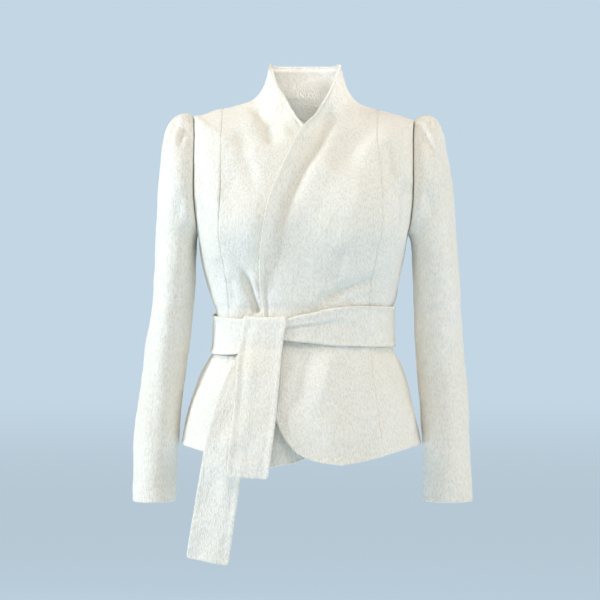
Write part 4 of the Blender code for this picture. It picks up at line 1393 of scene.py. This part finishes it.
@dataclass
class Sleeve:
    """One sleeve: a tucked and puffed head on a slim tube, open at the cuff."""

    side: Side
    figure: Figure
    pattern: Pattern
    cloth: Cloth = field(default_factory=lambda: Cloth(bead_height=0.0002, ditch_depth=0.0))
    uneven: Unevenness = field(default_factory=lambda: Unevenness(seed=5, height=0.00040))
    half_count: int = 56
    cap_rows: int = 46
    lower_step: float = 0.0035
    cap_shares: tuple[float, ...] = (0.0, 0.0015, 0.004, 0.008, 0.014, 0.022)  # close rows by the seam
    cap_out: float = 0.012  # how strongly the head leaves the seam outwards, at the underarm
    cap_forward: float = 0.085  # forwards or backwards, half way up
    cap_up: float = 0.059  # and upwards, at the tip
    cap_down: float = 0.030  # how strongly it meets the tube, at the underarm
    puff_height: float = 0.0028  # between the tucks
    puff_width: float = 0.058
    puff_reach: float = 0.045
    tuck_peak: float = 0.010  # metres from the seam to where the tucks are deepest
    tuck_spread: float = 0.040  # metres over which a tuck gets as wide again
    tuck_at_seam: float = 0.35  # the share of its depth that a tuck has at the seam
    crest: float = 0.35  # the height of the roll beside a tuck, as a share of the tuck's depth
    crest_at: float = 1.6  # and its place and width, in widths of the tuck
    crest_width: float = 1.3
    crease_from: float = 0.02  # metres from the seam over which the creases come in
    uneven_from: float = 0.03
    seam_blend: float = 0.010  # metres over which the inner face leaves the armhole's plane
    cuff_edge: float = 0.6  # how much of a free edge's shape the cuff has
    hem_width: float = 0.036

    def seam(self) -> tuple[Array, Array, Array, Array]:
        """The armhole seam, from the underarm up the front and down the back.

        Returns:
            Its points, the half that each is on (-1 the front), its rise to the tip (1), and metres from it.
        """
        front = self.pattern.armhole(self.side, FRONT, self.half_count)
        back = self.pattern.armhole(self.side, BACK, self.half_count)
        spots = np.concatenate([front, back[-2:0:-1]])
        seam = self.figure.off(spots[:, 0], spots[:, 1], self.figure.cloth_lift(spots[:, 0], spots[:, 1]))
        tip = self.half_count
        on_front = np.arange(len(seam)) <= tip
        lengths = along(np.concatenate([seam, seam[:1]]))
        from_tip = lengths[:-1] - lengths[tip]
        half_length = np.where(on_front, lengths[tip], lengths[-1] - lengths[tip])
        return seam, np.where(on_front, -1.0, 1.0), 1 - np.abs(from_tip) / half_length, from_tip

    def rings(self, seam: Array, facing: Array, rise: Array) -> Array:
        """The smooth sleeve, ring by ring from the seam to the cuff.

        Args:
            seam: the points of the armhole seam.
            facing: the half that each is on.
            rise: the rise of each, from 0 at the underarm to 1 at the tip.

        Returns:
            The rings, rows by columns.
        """
        sign = self.side.value
        sections = np.array(SLEEVE_SECTIONS[self.side])

        def section(row: Array) -> Array:
            """The points of one section.

            Args:
                row: the section's numbers.

            Returns:
                A point for each of the seam.
            """
            z, x_body, x_outer, y_middle, y_half = row
            x = (x_body + x_outer) / 2 - (x_outer - x_body) / 2 * np.cos(math.pi * rise)
            y = y_middle + facing * y_half * np.sin(math.pi * rise)
            return np.stack([sign * x, y, np.full(len(x), z)], axis=1)

        up = np.sin(math.pi * rise / 2) ** 2
        tip = TIP_PULLS[self.side]
        out = self.cap_out + (tip.out - self.cap_out) * up
        forward = facing * self.cap_forward * np.sin(math.pi * rise)
        leave = np.stack([sign * out, forward, self.cap_up * up**2], axis=1)
        down = self.cap_down + (tip.down - self.cap_down) * up
        arrive = np.stack([sign * tip.drift * up, np.zeros(len(up)), -down], axis=1)
        first = section(sections[0])
        even = np.linspace(self.cap_shares[-1], 1, self.cap_rows)[:-1]
        shares = np.concatenate([self.cap_shares[:-1], even])
        made = [curve(seam, leave, first, arrive, share) for share in shares]
        length = sections[0, 0] - sections[-1, 0]
        down_it = self.cloth.places(length, Rim.SEWN, Rim.FREE, round(length / self.lower_step)) / length
        for share in np.concatenate([[0.0], down_it[len(self.cloth.edge_steps):]]):
            made.append(section(smooth_rows(sections, share * (len(sections) - 1))))
        return np.array(made)

    def tuck_lift(self, gone: Array, from_tip: Array) -> Array:
        """How the tucks shape the head, with the cloth puffed between them.

        Args:
            gone: metres from the seam.
            from_tip: metres along the seam from the tip, below 0 on the front.

        Returns:
            The lift.
        """
        starts = np.sin(math.pi / 2 * np.clip(gone / self.tuck_peak, 0, 1))
        middle = hump(from_tip, 0.0, self.puff_width)
        lift = self.puff_height * middle * starts * hump(gone, 0.0, self.puff_reach)
        for tuck in TUCKS[self.side]:
            place = from_tip - tuck.from_tip - tuck.lean * gone
            width = tuck.width * (1 + gone / self.tuck_spread)
            fade = hump(np.maximum(gone - self.tuck_peak, 0), 0.0, tuck.reach)
            deep = self.tuck_at_seam + (1 - self.tuck_at_seam) * starts
            lift -= tuck.depth * deep * fade * hump(place, 0.0, width)
            roll = hump(place, self.crest_at * tuck.width, self.crest_width * width)
            lift += self.crest * tuck.depth * starts * fade * roll
        return lift

    def build(self, room: Workroom) -> None:
        """Makes and dresses the sleeve.

        Args:
            room: where pieces are dressed.
        """
        seam, facing, rise, from_tip = self.seam()
        outer = self.rings(seam, facing, rise)
        normals = self.side.value * grid_normals(outer, closed=True)
        gone = along(outer)
        front = normals[..., 1] < 0
        to_cuff = gone[-1] - gone + self.cloth.free_inset
        lift = self.tuck_lift(gone, np.broadcast_to(from_tip, gone.shape))
        creases = crease_lift(SLEEVE_CREASES[self.side], outer, front)
        lift += creases * smooth_step(gone, 0.0, self.crease_from)
        lift += self.uneven.lift(outer) * smooth_step(gone, 0.0, self.uneven_from)
        cuff = self.cloth.edge_lift(to_cuff, Rim.FREE) * self.cuff_edge
        lift += cuff + self.cloth.edge_lift(gone, Rim.SEWN)
        outer = outer + normals * lift[..., None]
        depth = self.cloth.wall + self.cloth.turning(to_cuff, Rim.FREE, self.hem_width)
        inner = outer - normals * depth[..., None]
        inward = unit((seam.mean(axis=0) - seam) * np.array([0.0, 1.0, 1.0]))
        blend = (1 - smooth_step(gone, 0.0, self.seam_blend))[..., None]
        inner = inner * (1 - blend) + (outer + inward[None] * self.cloth.wall) * blend
        node = f"{self.side.word}_sleeve"
        room.take(self.cloth.tube(node + "_cloth", outer, inner, Rims()), node)


@dataclass
class Belt:
    """The belt of doubled cloth: a band round the waist, tied once, with two hanging ends."""

    figure: Figure
    cloth: Cloth = field(default_factory=lambda: Cloth(
        wall=0.0030, free_inset=0.0014, bead_height=0.0005, bead_inside=0.0, bead_at=0.0030,
        bead_width=0.0032, ditch_depth=0.0003, step=0.0028))
    uneven: Unevenness = field(default_factory=lambda: Unevenness(seed=23, height=0.00030))
    width: float = 0.067
    lift: float = 0.0013  # from the body cloth to the band
    knot_x: float = -0.058
    knot_half: float = 0.052
    knot_ease: float = 0.045
    knot_lift: float = 0.0048  # how much further out the band runs by the knot
    upper_back_lift: float = 0.0026  # from the body cloth to the upper end, behind the band
    lower_lift: float = 0.0036
    fold_z: float = -0.3690
    leg_end_z: float = -0.4310
    roll_steps: int = 20
    upper_facing: float = math.radians(7)
    lower_facing: float = math.radians(15)
    hang_reach: tuple[float, float] = (-0.16, 0.02)  # the stretch of x before which the ends hang
    hang_samples: int = 60
    end_corner: float = 0.0060
    end_uneven: float = 1.5  # how uneven the ends are, to the band's 1
    upper_folds: tuple[EndFold, ...] = (
        EndFold(0.34, 0.10, 0.0011, (0.0, 0.02)), EndFold(0.14, 0.07, -0.0013, (0.0, 0.02), (0.10, 0.20)),
        EndFold(0.80, 0.12, -0.0008, (0.0, 0.02)),
    )
    lower_folds: tuple[EndFold, ...] = (
        EndFold(0.62, 0.16, 0.0010), EndFold(0.30, 0.12, -0.0009, (0.02, 0.08)),
    )
    fold_slope: float = 0.004  # how much higher the folds by the knot lie for each degree less
    fold_turn: float = 96.0  # the place round the waist where lip_at and fan_at hold
    lip_at: float = 0.26
    lip_turns: tuple[float, float, float, float] = (60.0, 88.0, 104.0, 112.0)  # fades in, then out
    lip_edge: tuple[float, float] = (-0.05, 0.07)
    lip_height: float = 0.0026
    ditch_at: float = -0.14  # from the lip
    ditch_width: float = 0.12
    ditch_depth: float = 0.0014
    fan_at: float = -0.35
    fan_turns: tuple[float, float, float, float] = (78.0, 92.0, 102.0, 110.0)
    fan_width: float = 0.24
    fan_depth: float = 0.0008
    dents: tuple[BandDent, ...] = (
        BandDent(140, 0.30, 0.0012), BandDent(128, -0.30, 0.0012), BandDent(238, 0.1, 0.0010),
        BandDent(320, -0.2, 0.0010),
    )
    dent_turn: float = 14.0
    dent_width: float = 0.22
    inner_relief: float = 0.5  # how much of the band's troughs shows on its inside
    band_columns: int = 330
    band: tuple[BandMark, ...] = (
        BandMark(0, -0.3804, 0.0335), BandMark(45, -0.3790, 0.0335), BandMark(62, -0.3785, 0.0325),
        BandMark(76, -0.3800, 0.0300), BandMark(90, -0.3830, 0.0225), BandMark(102, -0.3860, 0.0160),
        BandMark(112, -0.3900, 0.0200), BandMark(125, -0.3960, 0.0290), BandMark(140, -0.3970, 0.0315),
        BandMark(180, -0.3920, 0.0320), BandMark(230, -0.3870, 0.0330), BandMark(310, -0.3830, 0.0335),
        BandMark(360, -0.3804, 0.0335),
    )

    def knot_middle_lift(self) -> float:
        """The height of the band's middle at the knot."""
        return self.lift + self.knot_lift + self.cloth.wall / 2

    def roll_radius(self) -> float:
        """The radius at which the upper end rolls over the band."""
        return self.knot_middle_lift() - self.upper_back_lift

    def upper_rows(self) -> tuple[StripRow, ...]:
        """The upper end in front of the band.

        Returns:
            Its rows, from the band down.
        """
        lift = self.knot_middle_lift() + self.roll_radius()
        return (
            StripRow(-0.0920, -0.3760, -0.0270, -0.3760, lift, 0.2),
            StripRow(-0.0975, -0.4020, -0.0320, -0.4040, lift, 0.5),
            StripRow(-0.1044, -0.4338, -0.0365, -0.4440, lift - 0.0005, 0.8),
            StripRow(-0.1102, -0.4999, -0.0425, -0.5050, lift - 0.0022, 1.0),
            StripRow(-0.1161, -0.5562, -0.0480, -0.5580, lift - 0.0012, 1.0),
            StripRow(-0.1228, -0.6192, -0.0569, -0.6222, lift - 0.0007, 1.0),
        )

    def leg_rows(self) -> tuple[StripRow, ...]:
        """The upper end behind the band, from where the lower end starts.

        Returns:
            Its rows, from below.
        """
        return (
            StripRow(-0.1065, self.leg_end_z, -0.0430, self.leg_end_z, self.lower_lift, 0.0),
            StripRow(-0.0920, -0.3760, -0.0290, -0.3760, self.upper_back_lift, 0.0),
        )

    def lower_rows(self) -> tuple[StripRow, ...]:
        """The lower end.

        Returns:
            Its rows, from the band down.
        """
        lift = self.lower_lift
        return (
            StripRow(-0.1065, self.leg_end_z, -0.0430, self.leg_end_z, lift, 0.0),
            StripRow(-0.1221, -0.4579, -0.0560, -0.4640, lift, 0.5),
            StripRow(-0.1361, -0.4894, -0.0690, -0.4990, lift, 0.9),
            StripRow(-0.1483, -0.5317, -0.0815, -0.5400, lift, 1.0),
            StripRow(-0.1575, -0.5693, -0.0920, -0.5760, lift + 0.0010, 1.0),
            StripRow(-0.1667, -0.6225, -0.1010, -0.6260, lift + 0.0020, 1.0),
            StripRow(-0.1762, -0.6794, -0.1090, -0.6830, lift + 0.0020, 1.0),
            StripRow(-0.1872, -0.7490, -0.1205, -0.7600, lift + 0.0020, 1.0),
        )

    def before_body(self, x: Array, z: Array, lift: Array) -> Array:
        """Points lifted off the smooth front at x and z, which hang straight down below the hem.

        Args:
            x: places across.
            z: heights.
            lift: how far off the front.

        Returns:
            The points.
        """
        hem = np.zeros(x.shape)
        hem_z = self.figure.at(self.figure.angle_at(x, hem), hem)[..., 2]
        on_cloth = np.maximum(z, hem_z)
        points = self.figure.off(*self.figure.seen_at(x, on_cloth), lift)
        points[..., 2] += z - on_cloth
        return points

    def strip(self, rows: Array, facing: float) -> tuple[Array, Array]:
        """Places a belt end.

        Args:
            rows: its table, read finely.
            facing: how far it turns towards the wearer's right.

        Returns:
            The middle of the strip, row by row, and how far across it each point is, from 0 to 1.
        """
        x_left, z_left, x_right, z_right, lift, flat = (column[:, None] for column in rows.T)
        count = round(self.width / self.cloth.step)
        share = self.cloth.places(np.full(len(rows), self.width), Rim.FREE, Rim.FREE, count) / self.width
        x = x_left * (1 - share) + x_right * share
        z = z_left * (1 - share) + z_right * share
        points = self.before_body(x, z, np.broadcast_to(lift, x.shape))
        slope = math.tan(facing)
        reach_x = np.linspace(*self.hang_reach, self.hang_samples)
        reach_x, reach_z = np.broadcast_arrays(reach_x, z.mean(axis=1)[:, None])
        body = self.before_body(reach_x, reach_z, np.zeros(reach_x.shape))
        foremost = np.min(body[..., 1] + slope * body[..., 0], axis=1, keepdims=True)
        points[..., 0] += flat * (x - points[..., 0])
        points[..., 1] += flat * (foremost - slope * x - lift - points[..., 1])
        return points, share

    def read_grid(self, grid: Array, old_rows: Array, new_rows: Array, old_columns: Array,
                  new_columns: Array) -> Array:
        """Moves a grid's points to other places on itself.

        Args:
            grid: the points, rows by columns.
            old_rows: how far each is from the grid's last row.
            new_rows: how far it is to be.
            old_columns: how far each is from the first column.
            new_columns: how far it is to be.

        Returns:
            The moved points.
        """
        height, size = grid.shape[:2]
        every_row, every_column = np.arange(height), np.arange(size)
        row = np.stack([np.interp(-new, -old, every_row) for old, new in zip(old_rows.T, new_rows.T)], 1)
        column = np.stack([np.interp(new, old, every_column) for old, new in zip(old_columns, new_columns)])
        top, left = np.minimum(row.astype(int), height - 2), np.minimum(column.astype(int), size - 2)
        down, over = (row - top)[..., None], (column - left)[..., None]
        upper = grid[top, left] * (1 - over) + grid[top, left + 1] * over
        lower = grid[top + 1, left] * (1 - over) + grid[top + 1, left + 1] * over
        return upper * (1 - down) + lower * down

    def end_piece(self, name: str, middle: Array, lift: Array) -> bpy.types.Object:
        """Makes a belt end as a flat tube of cloth about its middle.

        Args:
            name: the piece's name.
            middle: the points of its middle, rows by columns.
            lift: how far its front is lifted at each.

        Returns:
            The piece.
        """
        inset = self.cloth.free_inset
        across = along(middle.swapaxes(0, 1)).T + inset
        to_end = (along(middle)[-1] - along(middle)) + inset
        beside = across[:, -1:] + inset - across
        right, below, nearest = self.cloth.draw_round(across, to_end, self.end_corner)
        left, last_below, last_nearest = self.cloth.draw_round(beside, below, self.end_corner)
        nearest = np.minimum(nearest, last_nearest)
        moved = np.where(right == across, across[:, -1:] + inset - left, right)
        middle = self.read_grid(middle, to_end, last_below, across, moved)
        normals = grid_normals(middle)
        lift = lift + self.cloth.edge_lift(nearest, Rim.FREE)
        centre = middle + normals * (self.uneven.lift(middle) * self.end_uneven)[..., None]
        half = self.cloth.wall / 2
        outer = centre + normals * (half + lift)[..., None]
        inner = centre - normals * half
        return self.cloth.panel(name, outer, inner, Rims(Rim.FREE, Rim.FREE, Rim.SEWN, Rim.FREE))

    def fine(self, rows: tuple[StripRow, ...], first: Rim, last: Rim) -> Array:
        """A belt end's table read at many rows, close together by its free ends.

        Args:
            rows: the table.
            first: how its first row ends.
            last: how its last row ends.

        Returns:
            The fine rows.
        """
        table = np.array(rows)
        lengths = along((table[:, 0:2] + table[:, 2:4]) / 2)
        count = round(lengths[-1] / self.cloth.step)
        wanted = self.cloth.places(lengths[-1], first, last, count)
        return smooth_rows(table, np.interp(wanted, lengths, np.arange(len(table))))

    def over_band(self, back: Array, front: Array) -> Array:
        """The roll of the upper end over the band.

        Args:
            back: its last row behind the band.
            front: its first row before the band.

        Returns:
            The rows between them.
        """
        radius, rows = self.roll_radius(), []
        for step in range(1, self.roll_steps):
            part = step / self.roll_steps
            row = StripRow(*(back * (1 - part) + front * part))
            z = self.fold_z + radius * math.sin(math.pi * part)
            lift = self.knot_middle_lift() - radius * math.cos(math.pi * part)
            rows.append(row._replace(z_left=z, z_right=z, lift=lift))
        return np.array(rows)

    def fold_lift(self, folds: tuple[EndFold, ...], share: Array, gone: Array) -> Array:
        """How folds shape a belt end.

        Args:
            folds: the folds.
            share: how far across the end each point is.
            gone: how far down it.

        Returns:
            The lift at each.
        """
        lift = np.zeros(gone.shape)
        for fold in folds:
            rise = fold.height * hump(share, fold.share, fold.width)
            if fold.starts:
                rise = rise * smooth_step(gone, *fold.starts)
            if fold.stops:
                rise = rise * (1 - smooth_step(gone, *fold.stops))
            lift = lift + rise
        return lift

    def build_ends(self, room: Workroom) -> None:
        """Makes and dresses the two hanging ends.

        Args:
            room: where pieces are dressed.
        """
        front = self.fine(self.upper_rows(), Rim.SEWN, Rim.FREE)
        back = self.fine(self.leg_rows(), Rim.SEWN, Rim.SEWN)
        upper = np.concatenate([back, self.over_band(back[-1], front[0]), front])
        lower = self.fine(self.lower_rows(), Rim.SEWN, Rim.FREE)
        over = len(back) + self.roll_steps // 2
        for node, rows, facing, start, folds in (
            ("belt_upper_end", upper, self.upper_facing, over, self.upper_folds),
            ("belt_lower_end", lower, self.lower_facing, 0, self.lower_folds),
        ):
            middle, share = self.strip(rows, facing)
            gone = along(middle) - along(middle)[start]
            room.take(self.end_piece(node + "_cloth", middle, self.fold_lift(folds, share, gone)), node)

    def band_relief(self, turn: Array, across: Array) -> Array:
        """The folds of the band.

        Args:
            turn: degrees round the waist.
            across: from -1 at its lower edge to 1 at its upper edge.

        Returns:
            The lift.
        """
        def between(turns: tuple[float, float, float, float]) -> Array:
            """1 between two places round the waist, with a fade in before and a fade out after."""
            return smooth_step(turn, *turns[:2]) * (1 - smooth_step(turn, *turns[2:]))

        rise = self.fold_slope * (self.fold_turn - turn)
        from_lip = across - (self.lip_at + rise)
        near_knot = between(self.lip_turns)
        lip = smooth_step(from_lip, *self.lip_edge) * near_knot
        ditch = self.ditch_depth * near_knot * hump(from_lip, self.ditch_at, self.ditch_width)
        lift = self.lip_height * lip - ditch
        lift -= self.fan_depth * between(self.fan_turns) * hump(across, self.fan_at + rise, self.fan_width)
        for dent in self.dents:
            beside = hump(turn, dent.turn, self.dent_turn)
            lift -= dent.depth * beside * hump(across, dent.across, self.dent_width)
        return lift

    def build_band(self, room: Workroom) -> None:
        """Makes and dresses the band round the waist.

        Args:
            room: where pieces are dressed.
        """
        degrees = np.linspace(0, 360, self.band_columns, endpoint=False)
        table = np.array(self.band)
        marks = np.interp(degrees, table[:, 0], np.arange(len(table)))
        z_middle, half = smooth_rows(table[:, 1:], marks).T
        count = round(2 * float(half.mean()) / self.cloth.step)
        places = self.cloth.places(2 * half, Rim.FREE, Rim.FREE, count)
        z = z_middle + half - places.T
        across = 1 - places.T / half
        turn = np.broadcast_to(degrees, z.shape)
        angle = np.radians(turn)
        level = self.figure.level_at(angle, z)
        x = self.figure.at(angle, level)[..., 0]
        near = 1 - smooth_step(np.abs(x - self.knot_x), self.knot_half, self.knot_half + self.knot_ease)
        lift = self.lift + self.knot_lift * near * (np.sin(angle) > 0)
        points = self.figure.off(angle, level, lift)
        away = np.minimum(places.T, 2 * half - places.T)
        lift = lift + self.uneven.lift(points) + self.cloth.edge_lift(away, Rim.FREE)
        relief = self.band_relief(turn, across)
        outer = self.figure.off(angle, level, lift + self.cloth.wall + relief)
        inner = self.figure.off(angle, level, lift + np.minimum(relief, 0.0) * self.inner_relief)
        piece = self.cloth.tube("belt_band_cloth", outer, inner, Rims(top=Rim.FREE))
        room.take(piece, "belt_band")

    def build(self, room: Workroom) -> None:
        """Makes and dresses the whole belt."""
        self.build_band(room)
        self.build_ends(room)


# -------------------------------------------------------- the studio
@dataclass(frozen=True)
class SoftLight:
    """A square soft light."""

    name: str
    place: tuple[float, float, float]
    aim: tuple[float, float, float]
    size: float
    watts: float
    colour: Colour
    spread: float = 180.0  # degrees, less keeps it to a beam

    def build(self) -> None:
        """Puts the light in the scene."""
        lamp = bpy.data.lights.new(self.name, "AREA")
        lamp.shape = "SQUARE"
        lamp.size = self.size
        lamp.energy = self.watts
        lamp.color = self.colour
        lamp.spread = math.radians(self.spread)
        item = put(self.name, lamp)
        item.location = self.place
        item.rotation_euler = (Vector(self.aim) - Vector(self.place)).to_track_quat("-Z", "Y").to_euler()


@dataclass
class Studio:
    """A plain pale floor, soft light from the viewer's left, and the camera."""

    aim: tuple[float, float, float] = (-0.0058, 0.0, -0.3366)
    distance: float = 4.0
    seen_width: float = 0.99
    sensor: float = 36.0
    floor_z: float = -1.45
    floor_radius: float = 30.0
    floor_sides: int = 96
    floor_fade: tuple[float, float] = (4.0, 26.0)  # metres off over which it fades into the air
    floor_roughness: float = 0.95
    floor_colour: Colour = (0.62, 0.76, 0.86)
    floor_glow: Colour = (0.152, 0.243, 0.357)
    air_colour: Colour = (0.548, 0.672, 0.775)
    fill_colour: Colour = (1.0, 0.870, 0.690)
    fill_strength: float = 0.46
    lights: tuple[SoftLight, ...] = (
        SoftLight("key_light", (-3.6, -0.9, 1.0), (0.0, 0.0, -0.30), 1.1, 108.0, (0.80, 0.90, 1.0)),
        SoftLight("right_fill", (3.2, -1.0, 0.6), (0.0, 0.0, -0.30), 1.6, 33.0, (0.94, 0.98, 1.0)),
        SoftLight("back_light", (1.2, 3.2, 1.4), (0.0, 0.0, -0.30), 2.0, 40.0, (1.0, 0.975, 0.940)),
        SoftLight("top_light", (0.1, -1.6, 1.9), (0.0, 0.0, 0.0), 1.2, 24.0, (0.96, 0.98, 1.0)),
        SoftLight("neck_light", (0.0, -1.05, 0.62), (0.0, 0.05, 0.0), 0.10, 0.034, (0.97, 0.98, 1.0), 9.0),
    )

    def build_camera(self) -> None:
        """A level camera at the photograph's angle."""
        camera = bpy.data.cameras.new("camera")
        camera.sensor_width = self.sensor
        camera.lens = self.sensor * self.distance / self.seen_width
        item = put("camera", camera)
        item.location = (self.aim[0], self.aim[1] - self.distance, self.aim[2])
        item.rotation_euler = (math.radians(90), 0.0, 0.0)
        bpy.context.scene.camera = item

    def build_floor(self) -> None:
        """A wide plain floor, which fades into the air far off so that no horizon shows."""
        mesh = bpy.data.meshes.new("floor")
        turns = np.linspace(0, 2 * math.pi, self.floor_sides, endpoint=False)
        radius = self.floor_radius
        rim = [(radius * math.cos(turn), radius * math.sin(turn), 0.0) for turn in turns]
        mesh.from_pydata(rim, [], [list(range(len(rim)))])
        material = bpy.data.materials.new("pale_floor")
        material.use_nodes = True
        nodes, links = material.node_tree.nodes, material.node_tree.links
        shader = set_inputs(nodes["Principled BSDF"], {
            "Base Color": (*self.floor_colour, 1.0), "Roughness": self.floor_roughness,
            "Emission Color": (*self.floor_glow, 1.0), "Emission Strength": 1.0,
        })
        place = nodes.new("ShaderNodeTexCoord")
        length = nodes.new("ShaderNodeVectorMath")
        length.operation = "LENGTH"
        links.new(place.outputs["Object"], length.inputs[0])
        fade = nodes.new("ShaderNodeMapRange")
        fade.interpolation_type = "SMOOTHERSTEP"
        near, far = self.floor_fade
        set_inputs(fade, {"From Min": near, "From Max": far, "To Min": 1.0, "To Max": 0.0})
        links.new(length.outputs["Value"], fade.inputs["Value"])
        links.new(fade.outputs["Result"], shader.inputs["Alpha"])
        mesh.materials.append(material)
        floor = put("floor", mesh)
        floor.location = (0.0, 0.0, self.floor_z)

    def build_air(self) -> None:
        """A surround that looks pale blue, and lights the cloth with a warm light."""
        world = bpy.data.worlds.new("studio")
        world.use_nodes = True
        nodes, links = world.node_tree.nodes, world.node_tree.links
        seen = set_inputs(nodes["Background"], {"Color": (*self.air_colour, 1.0)})
        lit = set_inputs(nodes.new("ShaderNodeBackground"), {
            "Color": (*self.fill_colour, 1.0), "Strength": self.fill_strength})
        path = nodes.new("ShaderNodeLightPath")
        mix = nodes.new("ShaderNodeMixShader")
        links.new(path.outputs["Is Camera Ray"], mix.inputs["Fac"])
        links.new(lit.outputs["Background"], mix.inputs[1])
        links.new(seen.outputs["Background"], mix.inputs[2])
        links.new(mix.outputs["Shader"], nodes["World Output"].inputs["Surface"])
        bpy.context.scene.world = world

    def build(self) -> None:
        """Sets up the whole studio."""
        self.build_camera()
        self.build_floor()
        self.build_air()
        for light in self.lights:
            light.build()
        settings = bpy.context.scene.view_settings
        settings.view_transform = "Standard"
        settings.look = "None"
        settings.exposure = 0.0
        settings.gamma = 1.0


def main() -> None:
    """Loads the solids and builds the studio, the bodice, the sleeves and the belt."""
    logging.basicConfig(level=logging.INFO, format="%(name)s: %(message)s")
    for thing in list(bpy.data.objects):
        bpy.data.objects.remove(thing, do_unlink=True)
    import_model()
    figure = Figure()
    pattern = Pattern(figure)
    room = Workroom()
    Studio().build()
    Bodice(figure, pattern).build(room)
    for side in Side:
        Sleeve(side, figure, pattern).build(room)
    Belt(figure).build(room)
    bpy.context.view_layer.update()
    LOG.info("%d pieces", len(room.made))


if __name__ == "__main__":
    main()
